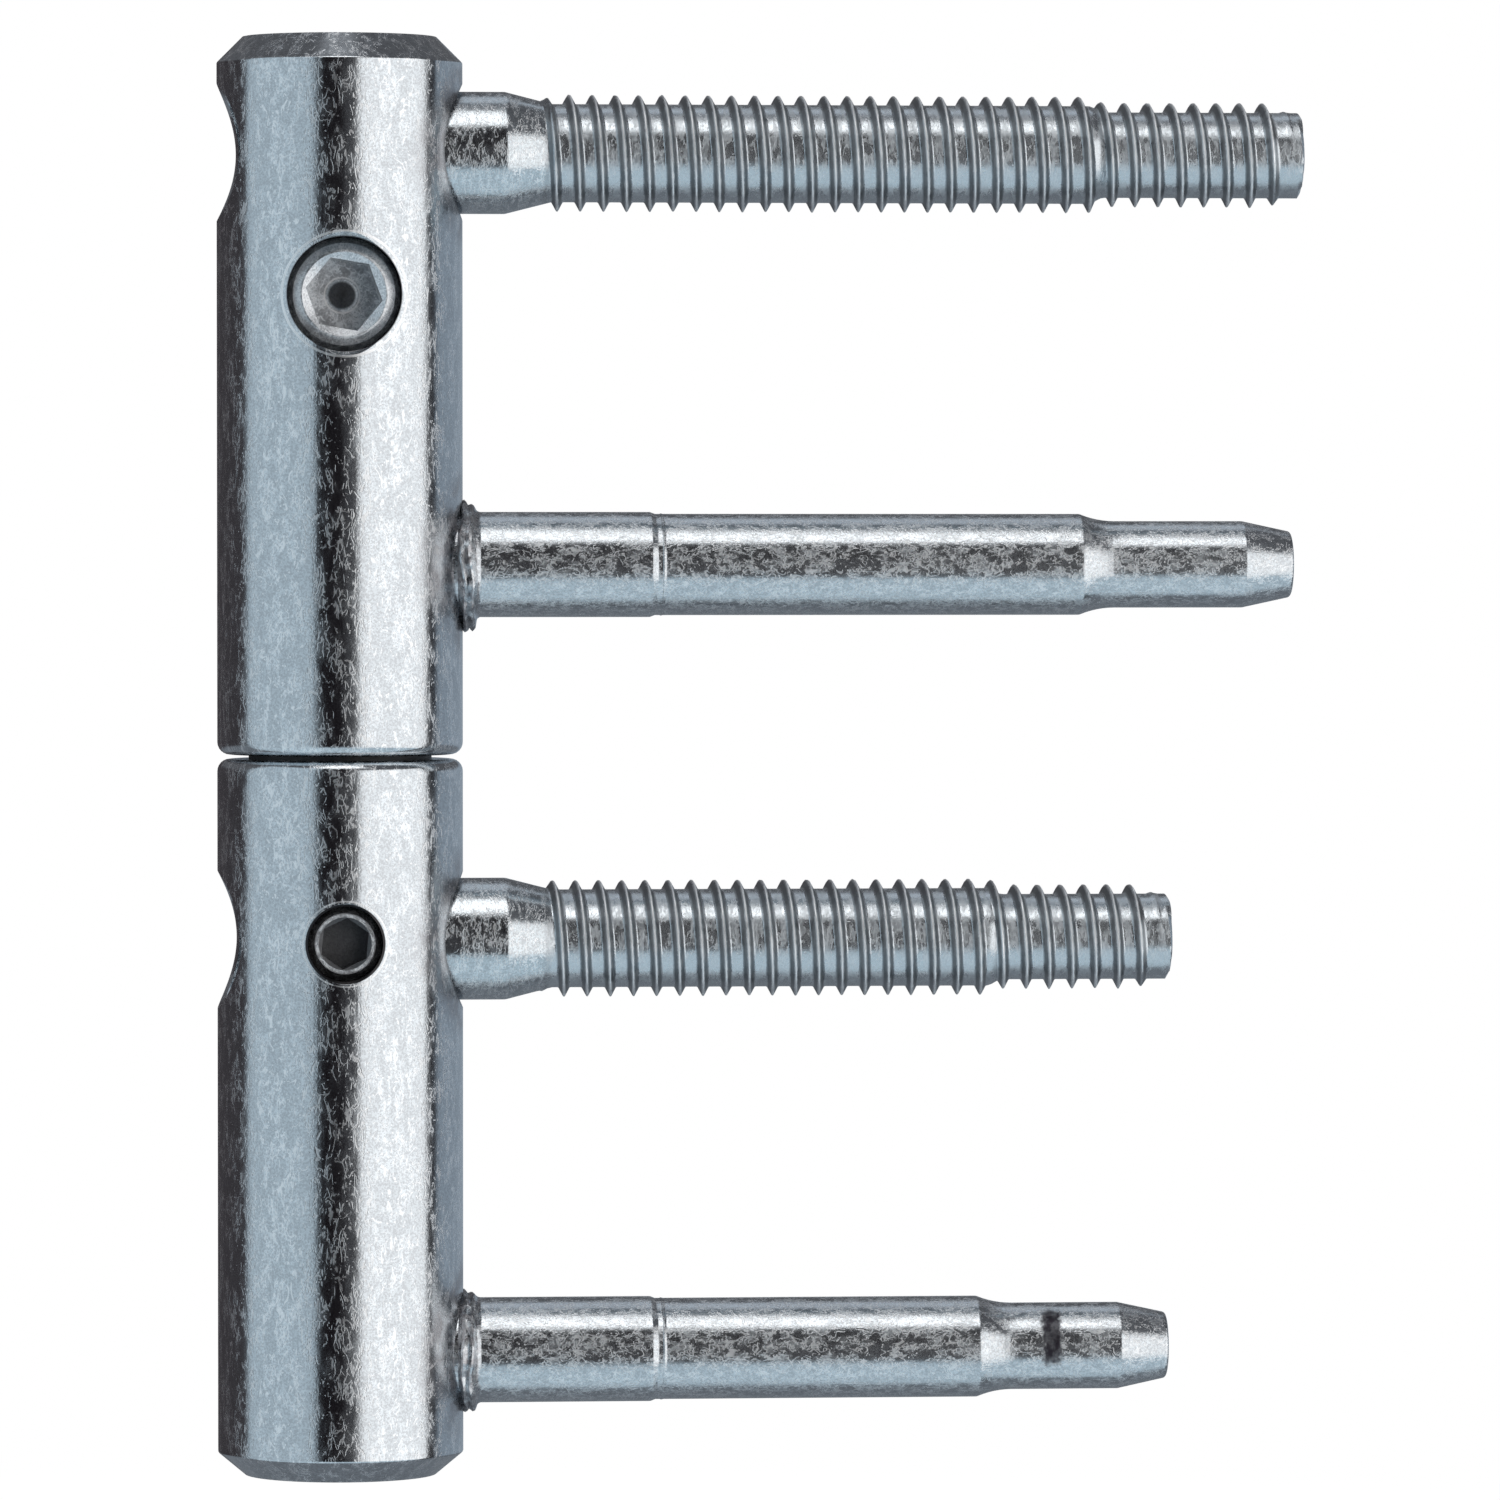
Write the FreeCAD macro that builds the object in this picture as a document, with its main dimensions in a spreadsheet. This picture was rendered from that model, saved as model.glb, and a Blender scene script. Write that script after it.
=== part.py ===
import FreeCAD
import Part
import math
import os

import Sketcher

# Lift off hinge, in millimetres
# The origin is the centre of the lower barrel's bottom face, on the turning axis.
# +Z runs up the turning axis, +X along the shanks and studs, and the screws face -Y.

# Driving dimensions: name, size and what it measures
SIZES = [
    ("barrel_diameter", 22.0, "both barrels, outside"),
    ("lower_barrel_length", 64.2, "along the turning axis"),
    ("upper_barrel_length", 64.2, "along the turning axis"),
    ("parting_gap", 0.4, "between the barrels, filled by the bush's flange"),
    ("top_chamfer", 2.3, "free end of the upper barrel"),
    ("bottom_chamfer_width", 2.4, "free end of the lower barrel, across"),
    ("bottom_chamfer_height", 2.0, "free end of the lower barrel, along"),
    ("inner_end_chamfer", 0.6, "edge where the barrels meet"),
    ("cross_hole_diameter", 11.1, "hole through a barrel for a stud"),
    ("cross_hole_chamfer", 0.65, "broken edge at both mouths of that hole"),
    ("lower_stud_drop", 16.2, "lower stud below the lower barrel's top"),
    ("lower_shank_height", 11.0, "above the bottom face"),
    ("upper_shank_height", 17.0, "above the upper barrel's lower face"),
    ("upper_stud_drop", 10.3, "upper stud below the top face"),
    ("height_screw_drop", 12.9, "height screw below the upper stud"),
    ("pin_diameter", 10.0, "hinge pin"),
    ("pin_proud", 5.0, "hinge pin above the bush"),
    ("pin_seat_web", 1.15, "metal left between the pin's seat and the cross hole"),
    ("pin_chamfer", 0.5, "top of the pin"),
    ("pin_bore_gap", 0.3, "around the pin above the bush"),
    ("running_gap", 0.05, "around the pin in the bush, the bush and the thrust piece in the barrel"),
    ("bush_wall", 1.45, "sleeve of the bush"),
    ("bush_flange_rim", 1.7, "flange outside the sleeve"),
    ("bush_bore_spare", 0.5, "bore left over the bush"),
    ("bush_lead", 0.3, "chamfer at the mouth of the upper barrel's bore"),
    ("ball_diameter", 5.0, "bearing ball"),
    ("ball_seat_angle", 120.0, "cone in the pin's top, in degrees"),
    ("ball_seat_lip", 0.7, "cone's mouth outside the ball's contact circle"),
    ("contact_gap", 0.02, "between pieces that press on each other"),
    ("thrust_foot_drop", 14.0, "foot of the thrust piece below the height screw"),
    ("thrust_crown", 3.5, "flat of the thrust piece above its bevel at the axis"),
    ("thrust_bore_spare", 2.4, "straight bore left over the thrust piece"),
    ("drill_point_angle", 118.0, "dimple in the height screw's socket, in degrees"),
    ("height_screw_diameter", 10.12, "height screw at the root of its thread"),
    ("screw_gap", 0.04, "around a screw in its tapped hole"),
    ("height_screw_length", 12.0, "face to point"),
    ("height_screw_recess", 1.7, "face below the front of the barrel"),
    ("height_screw_face_chamfer", 1.15, "bevel around the socket face, across"),
    ("height_screw_face_slope", 0.55, "bevel around the socket face, along"),
    ("height_screw_tip_diameter", 3.2, "flat on the point"),
    ("height_screw_mouth", 11.0, "countersink at the front of the barrel"),
    ("height_screw_hole_spare", 3.8, "hole left ahead of the point"),
    ("height_socket_width", 6.0, "across flats"),
    ("height_socket_depth", 4.8, "hexagon socket"),
    ("height_socket_turn", 9.8, "one corner below level, in degrees"),
    ("height_socket_pilot", 2.8, "drilled dimple in the socket's floor"),
    ("lower_lock_diameter", 6.62, "lower lock screw at the root of its thread"),
    ("lower_lock_recess", 1.1, "face below the front of the barrel"),
    ("lower_lock_mouth", 7.25, "countersink at the front of the barrel"),
    ("lower_lock_face_chamfer", 0.6, "bevel around the socket face"),
    ("lower_lock_dog", 5.5, "diameter of the point that enters the stud's groove"),
    ("lower_socket_width", 4.0, "across flats"),
    ("lower_socket_depth", 2.5, "hexagon socket"),
    ("lower_socket_turn", -25.0, "one corner below level, in degrees"),
    ("upper_lock_diameter", 4.92, "upper lock screw at the root of its thread"),
    ("upper_lock_recess", 0.6, "face below the top of the barrel"),
    ("upper_lock_mouth", 5.7, "countersink in the top face"),
    ("upper_lock_face_chamfer", 0.5, "bevel around the socket face"),
    ("upper_lock_dog", 4.0, "diameter of the point that enters the stud's groove"),
    ("upper_socket_width", 3.0, "across flats"),
    ("upper_socket_depth", 2.2, "hexagon socket"),
    ("dog_length", 1.0, "point of both lock screws"),
    ("stud_gap", 0.08, "around a stud's collar in the cross hole"),
    ("stud_head", 6.5, "socket end of a stud, left of the turning axis"),
    ("stud_head_chamfer", 0.5, "edge of the socket end"),
    ("stud_groove_depth", 0.8, "groove that a lock screw enters"),
    ("stud_groove_play", 0.1, "beside the lock screw's point"),
    ("stud_collar_end", 14.8, "collar, from the turning axis"),
    ("stud_neck_length", 4.2, "cone from the collar to the thread's root"),
    ("thread_root", 8.8, "stud between the ridges of its thread"),
    ("thread_diameter", 10.45, "stud over its thread"),
    ("end_thread_diameter", 9.4, "stud over the thread of its end stretch"),
    ("stud_end_chamfer", 0.9, "far end of a stud"),
    ("stud_socket_width", 5.0, "across flats"),
    ("stud_socket_depth", 4.5, "hexagon socket"),
    ("lower_stud_step", 58.3, "end stretch of the lower stud, from the turning axis"),
    ("lower_stud_tail", 16.5, "length of that end stretch"),
    ("upper_stud_step", 67.5, "end stretch of the upper stud, from the turning axis"),
    ("upper_stud_tail", 19.2, "length of that end stretch"),
    ("shank_root_diameter", 9.44, "first stretch of a shank"),
    ("shank_diameter", 9.1, "long stretch of a shank"),
    ("shank_end_diameter", 7.8, "end stretch of a shank"),
    ("shank_tip_diameter", 5.9, "end face of a shank"),
    ("shank_root_end", 28.4, "first stretch, from the turning axis"),
    ("shank_taper_length", 2.2, "taper to the end stretch"),
    ("shank_point_length", 4.4, "cone at the free end"),
    ("lower_shank_shoulder", 57.4, "start of the taper, from the turning axis"),
    ("lower_shank_nose", 17.2, "shoulder to free end"),
    ("upper_shank_shoulder", 66.7, "start of the taper, from the turning axis"),
    ("upper_shank_nose", 19.2, "shoulder to free end"),
    ("flash_thickness", 1.4, "weld bead, out from the barrel"),
    ("lower_flash_diameter", 11.1, "weld bead around the lower shank"),
    ("upper_flash_diameter", 11.7, "weld bead around the upper shank"),
]

# Places worked out from the driving dimensions
BARREL_RADIUS = "Sizes.barrel_diameter / 2"
UPPER_FACE = "(Sizes.lower_barrel_length + Sizes.parting_gap)"
LOWER_STUD = "(Sizes.lower_barrel_length - Sizes.lower_stud_drop)"
UPPER_STUD = "(Sizes.upper_barrel_length - Sizes.upper_stud_drop)"
HEIGHT_SCREW = f"({UPPER_STUD} - Sizes.height_screw_drop)"
CROSS_RADIUS = "Sizes.cross_hole_diameter / 2"
COLLAR_RADIUS = f"({CROSS_RADIUS} - Sizes.stud_gap)"
GROOVE_RADIUS = f"({COLLAR_RADIUS} - Sizes.stud_groove_depth)"
LOCK_TIP = f"({GROOVE_RADIUS} + Sizes.contact_gap)"
PIN_RADIUS = "Sizes.pin_diameter / 2"
PIN_SEAT = f"({LOWER_STUD} + {CROSS_RADIUS} + Sizes.pin_seat_web)"
PIN_BORE_RADIUS = f"({PIN_RADIUS} + Sizes.pin_bore_gap)"
THRUST_RADIUS = f"({PIN_BORE_RADIUS} - Sizes.running_gap)"
THRUST_FOOT = f"({UPPER_FACE} + {HEIGHT_SCREW} - Sizes.thrust_foot_drop)"
BALL_RADIUS = "Sizes.ball_diameter / 2"
BALL_CENTRE = f"({THRUST_FOOT} - Sizes.contact_gap - {BALL_RADIUS})"
SEAT_HALF_ANGLE = "(Sizes.ball_seat_angle / 2)"
SEAT_RADIUS = f"({BALL_RADIUS} * cos({SEAT_HALF_ANGLE}) + Sizes.ball_seat_lip)"
SEAT_DEPTH = f"({SEAT_RADIUS} / tan({SEAT_HALF_ANGLE}))"
PIN_TOP = f"({BALL_CENTRE} - Sizes.contact_gap - {BALL_RADIUS} / sin({SEAT_HALF_ANGLE}) + {SEAT_DEPTH})"
BUSH_RADIUS = f"({PIN_RADIUS} + Sizes.running_gap + Sizes.bush_wall)"
BUSH_TOP = f"({PIN_TOP} - Sizes.pin_proud)"
DRILL_SLOPE = "tan(Sizes.drill_point_angle / 2)"
SCREW_TIP_REACH = "(Sizes.height_screw_recess + Sizes.height_screw_length)"

# Height at the axis of the 45 degree bevel that the height screw's cone presses
BEVEL_HEIGHT = (
    f"({UPPER_FACE} + {HEIGHT_SCREW} + {BARREL_RADIUS} - {SCREW_TIP_REACH}"
    " - Sizes.height_screw_tip_diameter / 2 - 2 * Sizes.contact_gap)"
)

# Room left beyond a piece by a cutting outline, in millimetres
CLEAR = 1.0

document = FreeCAD.newDocument("lift_off_hinge")
sheet = document.addObject("Spreadsheet::Sheet", "Sizes")
for row, (alias, number, note) in enumerate(SIZES, start=1):
    sheet.set(f"A{row}", alias)
    sheet.set(f"B{row}", str(number))
    sheet.set(f"C{row}", note)
    sheet.setAlias(f"B{row}", alias)
document.recompute()


def size(alias):
    """The number in the sheet under this name."""
    return float(sheet.get(alias))


def new_body(label):
    """A body for one piece of the hinge."""
    body = document.addObject("PartDesign::Body", label)
    body.Label = label
    return body


def new_sketch(body, name, role, along="0", up="0", out="0"):
    """A sketch on one of the body's own planes, its origin moved along, up and out of it."""
    sketch = body.newObject("Sketcher::SketchObject", name)
    plane = [item for item in body.Origin.OriginFeatures if item.Role == role][0]
    sketch.AttachmentSupport = (plane, [""])
    sketch.MapMode = "FlatFace"
    for letter, place in (("x", along), ("y", up), ("z", out)):
        if place != "0":
            sketch.setExpression(f"AttachmentOffset.Base.{letter}", place)
    return sketch


def bind(sketch, kind, parts, start, expression):
    """Adds a dimension to the sketch and ties it to the sheet."""
    number = sketch.addConstraint(Sketcher.Constraint(kind, *parts, start))
    sketch.setExpression(f"Constraints[{number}]", expression)


def outline(sketch, corners):
    """Closes straight edges through corners that are given as two expressions each."""
    first = sketch.GeometryCount
    count = len(corners)
    starts = []
    for index in range(count):
        turn = 2 * math.pi * index / count
        starts.append(FreeCAD.Vector(math.cos(turn), math.sin(turn), 0))
    for index in range(count):
        sketch.addGeometry(Part.LineSegment(starts[index], starts[(index + 1) % count]), False)
    for index in range(count):
        after = first + (index + 1) % count
        sketch.addConstraint(Sketcher.Constraint("Coincident", first + index, 2, after, 1))
    for index, (across, up) in enumerate(corners):
        edge = first + index
        for kind, axis, start, place in (
            ("DistanceX", -2, starts[index].x, across),
            ("DistanceY", -1, starts[index].y, up),
        ):
            if place == "0":
                sketch.addConstraint(Sketcher.Constraint("PointOnObject", edge, 1, axis))
            else:
                bind(sketch, kind, (-1, 1, edge, 1), start, place)


def circle(sketch, radius):
    """A circle round the sketch's origin."""
    shape = Part.Circle(FreeCAD.Vector(0, 0, 0), FreeCAD.Vector(0, 0, 1), 1)
    number = sketch.addGeometry(shape, False)
    sketch.addConstraint(Sketcher.Constraint("Coincident", number, 3, -1, 1))
    bind(sketch, "Radius", (number,), 1.0, radius)


def hexagon(sketch, width, turn):
    """A hexagon across flats round the sketch's origin, its first corner turned from the level."""
    corner = f"({width} / sqrt(3))"
    corners = []
    for index in range(6):
        angle = f"({turn} + {60 * index})"
        corners.append((f"{corner} * cos({angle})", f"{corner} * sin({angle})"))
    outline(sketch, corners)


def turned(body, name, kind, sketch, axis):
    """Turns the sketch a full turn round one of its own axes, to add or to cut."""
    feature = body.newObject(f"PartDesign::{kind}", name)
    feature.Profile = sketch
    feature.ReferenceAxis = (sketch, [axis])
    feature.Angle = 360
    sketch.Visibility = False
    return feature


def cut_through(body, name, sketch):
    """Cuts the sketch through the whole piece, both ways."""
    pocket = body.newObject("PartDesign::Pocket", name)
    pocket.Profile = sketch
    pocket.SideType = "Symmetric"
    pocket.Type = "ThroughAll"
    return pocket


def cut_into(body, name, sketch, depth, reverse):
    """Cuts the sketch to a depth, against its normal or, reversed, along it."""
    pocket = body.newObject("PartDesign::Pocket", name)
    pocket.Profile = sketch
    pocket.Reversed = reverse
    pocket.setExpression("Length", depth)
    return pocket


def edges_where(feature, wanted):
    """The names of the feature's edges on which every tested point is wanted."""
    names = []
    for number, edge in enumerate(feature.Shape.Edges, start=1):
        if edge.Degenerated:
            continue
        points = edge.discretize(5)
        if all(wanted(point) for point in points):
            names.append(f"Edge{number}")
    return names


def near(first, second):
    """True where two lengths are the same to a hundredth of a millimetre."""
    return abs(first - second) < 0.01


def chamfer_edges(body, name, feature, wanted, width):
    """Bevels the wanted edges of the feature."""
    document.recompute()
    chamfer = body.newObject("PartDesign::Chamfer", name)
    chamfer.Base = (feature, edges_where(feature, wanted))
    chamfer.setExpression("Size", width)
    return chamfer


def bevel_inner_end(body, feature, end_height):
    """Bevels the barrel's outer edge at the end where the two barrels meet."""
    radius = size("barrel_diameter") / 2

    def on_rim(point):
        return near(math.hypot(point.x, point.y), radius) and near(point.z, end_height)

    return chamfer_edges(body, "inner_end_bevel", feature, on_rim, "Sizes.inner_end_chamfer")


def cut_cross_hole(body, height):
    """The hole for a stud, across the barrel, with both of its mouths bevelled."""
    sketch = new_sketch(body, "cross_hole_outline", "YZ_Plane", up=height)
    circle(sketch, CROSS_RADIUS)
    hole = cut_through(body, "cross_hole", sketch)
    document.recompute()
    hole_height = float(sketch.AttachmentOffset.Base.y)
    hole_radius = size("cross_hole_diameter") / 2
    barrel_radius = size("barrel_diameter") / 2

    def on_mouth(point):
        on_hole = near(math.hypot(point.y, point.z - hole_height), hole_radius)
        return on_hole and near(math.hypot(point.x, point.y), barrel_radius)

    return chamfer_edges(body, "cross_hole_mouths", hole, on_mouth, "Sizes.cross_hole_chamfer")


def cut_screw_hole(body, name, sketch, start, mouth, radius, depth):
    """A flat bottomed tapped hole at the root of its thread, countersunk at its mouth."""
    sink = f"({mouth} / 2 - {radius})"
    above = f"({start} - {CLEAR})"
    wide = f"({mouth} / 2 + {CLEAR})"
    end = f"({start} + {depth})"
    outline(sketch, [
        (above, "0"),
        (above, wide),
        (start, f"{mouth} / 2"),
        (f"{start} + {sink}", radius),
        (end, radius),
        (end, "0"),
    ])
    return turned(body, name, "Groove", sketch, "H_Axis")


def make_lower_barrel():
    """The lower barrel: a solid bar with the pin's seat, the stud's hole and the lock screw's hole."""
    body = new_body("lower_barrel")
    sketch = new_sketch(body, "barrel_outline", "XZ_Plane")
    length = "Sizes.lower_barrel_length"
    outline(sketch, [
        ("0", "0"),
        (f"{BARREL_RADIUS} - Sizes.bottom_chamfer_width", "0"),
        (BARREL_RADIUS, "Sizes.bottom_chamfer_height"),
        (BARREL_RADIUS, length),
        (PIN_RADIUS, length),
        (PIN_RADIUS, PIN_SEAT),
        ("0", PIN_SEAT),
    ])
    barrel = turned(body, "barrel", "Revolution", sketch, "V_Axis")
    bevel_inner_end(body, barrel, size("lower_barrel_length"))
    cut_cross_hole(body, LOWER_STUD)
    hole = new_sketch(body, "lock_screw_hole_outline", "YZ_Plane", up=LOWER_STUD)
    radius = "(Sizes.lower_lock_diameter / 2 + Sizes.screw_gap)"
    depth = f"({BARREL_RADIUS} - Sizes.thread_root / 2)"
    cut_screw_hole(body, "lock_screw_hole", hole, f"(-{BARREL_RADIUS})", "Sizes.lower_lock_mouth", radius, depth)
    return body


def make_upper_barrel():
    """The upper barrel: a stepped bore from below, and holes for its stud and its two screws."""
    body = new_body("upper_barrel")
    sketch = new_sketch(body, "barrel_outline", "XZ_Plane")
    length = "Sizes.upper_barrel_length"
    bush_bore = f"({BUSH_RADIUS} + Sizes.running_gap)"
    bush_bore_end = f"({BUSH_TOP} - {UPPER_FACE} + Sizes.bush_bore_spare)"
    pin_bore_end = f"({BEVEL_HEIGHT} - {UPPER_FACE} + Sizes.thrust_crown + Sizes.thrust_bore_spare)"
    outline(sketch, [
        ("0", pin_bore_end),
        (PIN_BORE_RADIUS, pin_bore_end),
        (PIN_BORE_RADIUS, bush_bore_end),
        (bush_bore, bush_bore_end),
        (bush_bore, "Sizes.bush_lead"),
        (f"{bush_bore} + Sizes.bush_lead", "0"),
        (BARREL_RADIUS, "0"),
        (BARREL_RADIUS, f"{length} - Sizes.top_chamfer"),
        (f"{BARREL_RADIUS} - Sizes.top_chamfer", length),
        ("0", length),
    ])
    barrel = turned(body, "barrel", "Revolution", sketch, "V_Axis")
    bevel_inner_end(body, barrel, 0)
    cut_cross_hole(body, UPPER_STUD)
    front = f"(-{BARREL_RADIUS})"
    hole = new_sketch(body, "height_screw_hole_outline", "YZ_Plane", up=HEIGHT_SCREW)
    radius = "(Sizes.height_screw_diameter / 2 + Sizes.screw_gap)"
    depth = f"({SCREW_TIP_REACH} + Sizes.height_screw_hole_spare)"
    cut_screw_hole(body, "height_screw_hole", hole, front, "Sizes.height_screw_mouth", radius, depth)
    lock = new_sketch(body, "lock_screw_hole_outline", "XZ_Plane")
    radius = "(Sizes.upper_lock_diameter / 2 + Sizes.screw_gap)"
    mouth = "Sizes.upper_lock_mouth / 2"
    outline(lock, [
        ("0", f"{length} + {CLEAR}"),
        (f"{mouth} + {CLEAR}", f"{length} + {CLEAR}"),
        (mouth, length),
        (radius, f"{length} - ({mouth} - {radius})"),
        (radius, f"{UPPER_STUD} + Sizes.thread_root / 2"),
        ("0", f"{UPPER_STUD} + Sizes.thread_root / 2"),
    ])
    turned(body, "lock_screw_hole", "Groove", lock, "V_Axis")
    body.setExpression("Placement.Base.z", UPPER_FACE)
    return body


def make_shank(label, height, shoulder, nose, flash):
    """A plain shank welded to its barrel, with the bead of the weld and the barrel's saddle in its root."""
    body = new_body(label)
    bead_outline = new_sketch(body, "bead_outline", "XZ_Plane")
    bead_radius = f"{flash} / 2"
    bead_end = f"{BARREL_RADIUS} + 2 * Sizes.flash_thickness"
    outline(bead_outline, [("0", "0"), ("0", bead_radius), (bead_end, bead_radius), (bead_end, "0")])
    turned(body, "bead", "Revolution", bead_outline, "H_Axis")
    bead_face = new_sketch(body, "bead_face_outline", "XY_Plane")
    circle(bead_face, f"{BARREL_RADIUS} + Sizes.flash_thickness")
    circle(bead_face, f"{BARREL_RADIUS} + 2 * Sizes.flash_thickness + {flash}")
    cut_through(body, "bead_face", bead_face)
    shank_outline = new_sketch(body, "shank_outline", "XZ_Plane")
    root = "Sizes.shank_root_diameter / 2"
    middle = "Sizes.shank_diameter / 2"
    tail = "Sizes.shank_end_diameter / 2"
    step = f"({root} - {middle})"
    end = f"({shoulder} + {nose})"
    outline(shank_outline, [
        ("0", "0"),
        ("0", root),
        ("Sizes.shank_root_end", root),
        (f"Sizes.shank_root_end + {step}", middle),
        (shoulder, middle),
        (f"{shoulder} + Sizes.shank_taper_length", tail),
        (f"{end} - Sizes.shank_point_length", tail),
        (end, "Sizes.shank_tip_diameter / 2"),
        (end, "0"),
    ])
    turned(body, "shank", "Revolution", shank_outline, "H_Axis")
    saddle = new_sketch(body, "saddle_outline", "XY_Plane")
    circle(saddle, BARREL_RADIUS)
    cut_through(body, "saddle", saddle)
    body.setExpression("Placement.Base.z", height)
    return body


def make_stud(label, height, step_place, tail, dog):
    """A stud that turns in its barrel: socket end, groove, collar, neck and two threaded stretches."""
    body = new_body(label)
    sketch = new_sketch(body, "stud_outline", "XZ_Plane")
    head = "(-Sizes.stud_head)"
    half_groove = f"({dog} / 2 + Sizes.stud_groove_play)"
    core = "Sizes.thread_root / 2"
    thread = "Sizes.thread_diameter / 2"
    end_thread = "Sizes.end_thread_diameter / 2"
    neck_end = "(Sizes.stud_collar_end + Sizes.stud_neck_length)"
    end = f"({step_place} + {tail})"
    outline(sketch, [
        (head, "0"),
        (head, f"{COLLAR_RADIUS} - Sizes.stud_head_chamfer"),
        (f"{head} + Sizes.stud_head_chamfer", COLLAR_RADIUS),
        (f"-{half_groove}", COLLAR_RADIUS),
        (f"-{half_groove}", GROOVE_RADIUS),
        (half_groove, GROOVE_RADIUS),
        (half_groove, COLLAR_RADIUS),
        ("Sizes.stud_collar_end", COLLAR_RADIUS),
        (neck_end, core),
        (neck_end, thread),
        (step_place, thread),
        (step_place, end_thread),
        (f"{end} - Sizes.stud_end_chamfer", end_thread),
        (end, f"{end_thread} - Sizes.stud_end_chamfer"),
        (end, "0"),
    ])
    turned(body, "stud", "Revolution", sketch, "H_Axis")
    socket = new_sketch(body, "socket_outline", "YZ_Plane", out=head)
    hexagon(socket, "Sizes.stud_socket_width", "0")
    cut_into(body, "socket", socket, "Sizes.stud_socket_depth", True)
    body.setExpression("Placement.Base.z", height)
    return body


def make_screw(label, corners, width, depth, turn, pilot):
    """A set screw built along its own +Z from its socket face, with a hexagon socket."""
    body = new_body(label)
    sketch = new_sketch(body, "screw_outline", "XZ_Plane")
    outline(sketch, corners)
    turned(body, "screw", "Revolution", sketch, "V_Axis")
    socket = new_sketch(body, "socket_outline", "XY_Plane")
    hexagon(socket, width, turn)
    cut_into(body, "socket", socket, depth, True)
    if pilot:
        dimple = new_sketch(body, "pilot_outline", "XZ_Plane")
        radius = f"{pilot} / 2"
        outline(dimple, [
            ("0", depth),
            (radius, depth),
            ("0", f"{depth} + {radius} / {DRILL_SLOPE}"),
        ])
        turned(body, "pilot", "Groove", dimple, "V_Axis")
    return body


def make_height_screw():
    """The screw whose cone pushes the thrust piece down and so lifts the upper barrel."""
    radius = "Sizes.height_screw_diameter / 2"
    tip = "Sizes.height_screw_tip_diameter / 2"
    length = "Sizes.height_screw_length"
    corners = [
        ("0", "0"),
        (f"{radius} - Sizes.height_screw_face_chamfer", "0"),
        (radius, "Sizes.height_screw_face_slope"),
        (radius, f"{length} - ({radius} - {tip})"),
        (tip, length),
        ("0", length),
    ]
    body = make_screw(
        "height_screw", corners, "Sizes.height_socket_width", "Sizes.height_socket_depth",
        "Sizes.height_socket_turn", "Sizes.height_socket_pilot",
    )
    body.Placement.Rotation = FreeCAD.Rotation(FreeCAD.Vector(1, 0, 0), -90)
    body.setExpression("Placement.Base.y", f"Sizes.height_screw_recess - {BARREL_RADIUS}")
    body.setExpression("Placement.Base.z", f"{UPPER_FACE} + {HEIGHT_SCREW}")
    return body


def lock_screw_corners(diameter, chamfer, dog, length):
    """Half the section of a lock screw: bevelled face, thread root and dog point."""
    radius = f"{diameter} / 2"
    neck = f"{length} - Sizes.dog_length"
    return [
        ("0", "0"),
        (f"{radius} - {chamfer}", "0"),
        (radius, chamfer),
        (radius, neck),
        (f"{dog} / 2", neck),
        (f"{dog} / 2", length),
        ("0", length),
    ]


def make_lower_lock_screw():
    """The screw at the front of the lower barrel that holds the lower stud."""
    length = f"({BARREL_RADIUS} - Sizes.lower_lock_recess - {LOCK_TIP})"
    corners = lock_screw_corners(
        "Sizes.lower_lock_diameter", "Sizes.lower_lock_face_chamfer", "Sizes.lower_lock_dog", length
    )
    body = make_screw(
        "lower_lock_screw", corners, "Sizes.lower_socket_width", "Sizes.lower_socket_depth",
        "Sizes.lower_socket_turn", None,
    )
    body.Placement.Rotation = FreeCAD.Rotation(FreeCAD.Vector(1, 0, 0), -90)
    body.setExpression("Placement.Base.y", f"Sizes.lower_lock_recess - {BARREL_RADIUS}")
    body.setExpression("Placement.Base.z", LOWER_STUD)
    return body


def make_upper_lock_screw():
    """The screw in the top face that holds the upper stud."""
    length = f"(Sizes.upper_stud_drop - Sizes.upper_lock_recess - {LOCK_TIP})"
    corners = lock_screw_corners(
        "Sizes.upper_lock_diameter", "Sizes.upper_lock_face_chamfer", "Sizes.upper_lock_dog", length
    )
    body = make_screw(
        "upper_lock_screw", corners, "Sizes.upper_socket_width", "Sizes.upper_socket_depth", "0", None
    )
    body.Placement.Rotation = FreeCAD.Rotation(FreeCAD.Vector(1, 0, 0), 180)
    body.setExpression(
        "Placement.Base.z", f"{UPPER_FACE} + Sizes.upper_barrel_length - Sizes.upper_lock_recess"
    )
    return body


def make_hinge_pin():
    """The pin pressed into the lower barrel, with a cone in its top for the ball."""
    body = new_body("hinge_pin")
    sketch = new_sketch(body, "pin_outline", "XZ_Plane")
    outline(sketch, [
        ("0", PIN_SEAT),
        (PIN_RADIUS, PIN_SEAT),
        (PIN_RADIUS, f"{PIN_TOP} - Sizes.pin_chamfer"),
        (f"{PIN_RADIUS} - Sizes.pin_chamfer", PIN_TOP),
        (SEAT_RADIUS, PIN_TOP),
        ("0", f"{PIN_TOP} - {SEAT_DEPTH}"),
    ])
    turned(body, "pin", "Revolution", sketch, "V_Axis")
    return body


def make_bearing_ball():
    """The ball that carries the door's weight."""
    ball = document.addObject("Part::Sphere", "bearing_ball")
    ball.Label = "bearing_ball"
    ball.setExpression("Radius", BALL_RADIUS)
    ball.setExpression("Placement.Base.z", BALL_CENTRE)
    return ball


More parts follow.
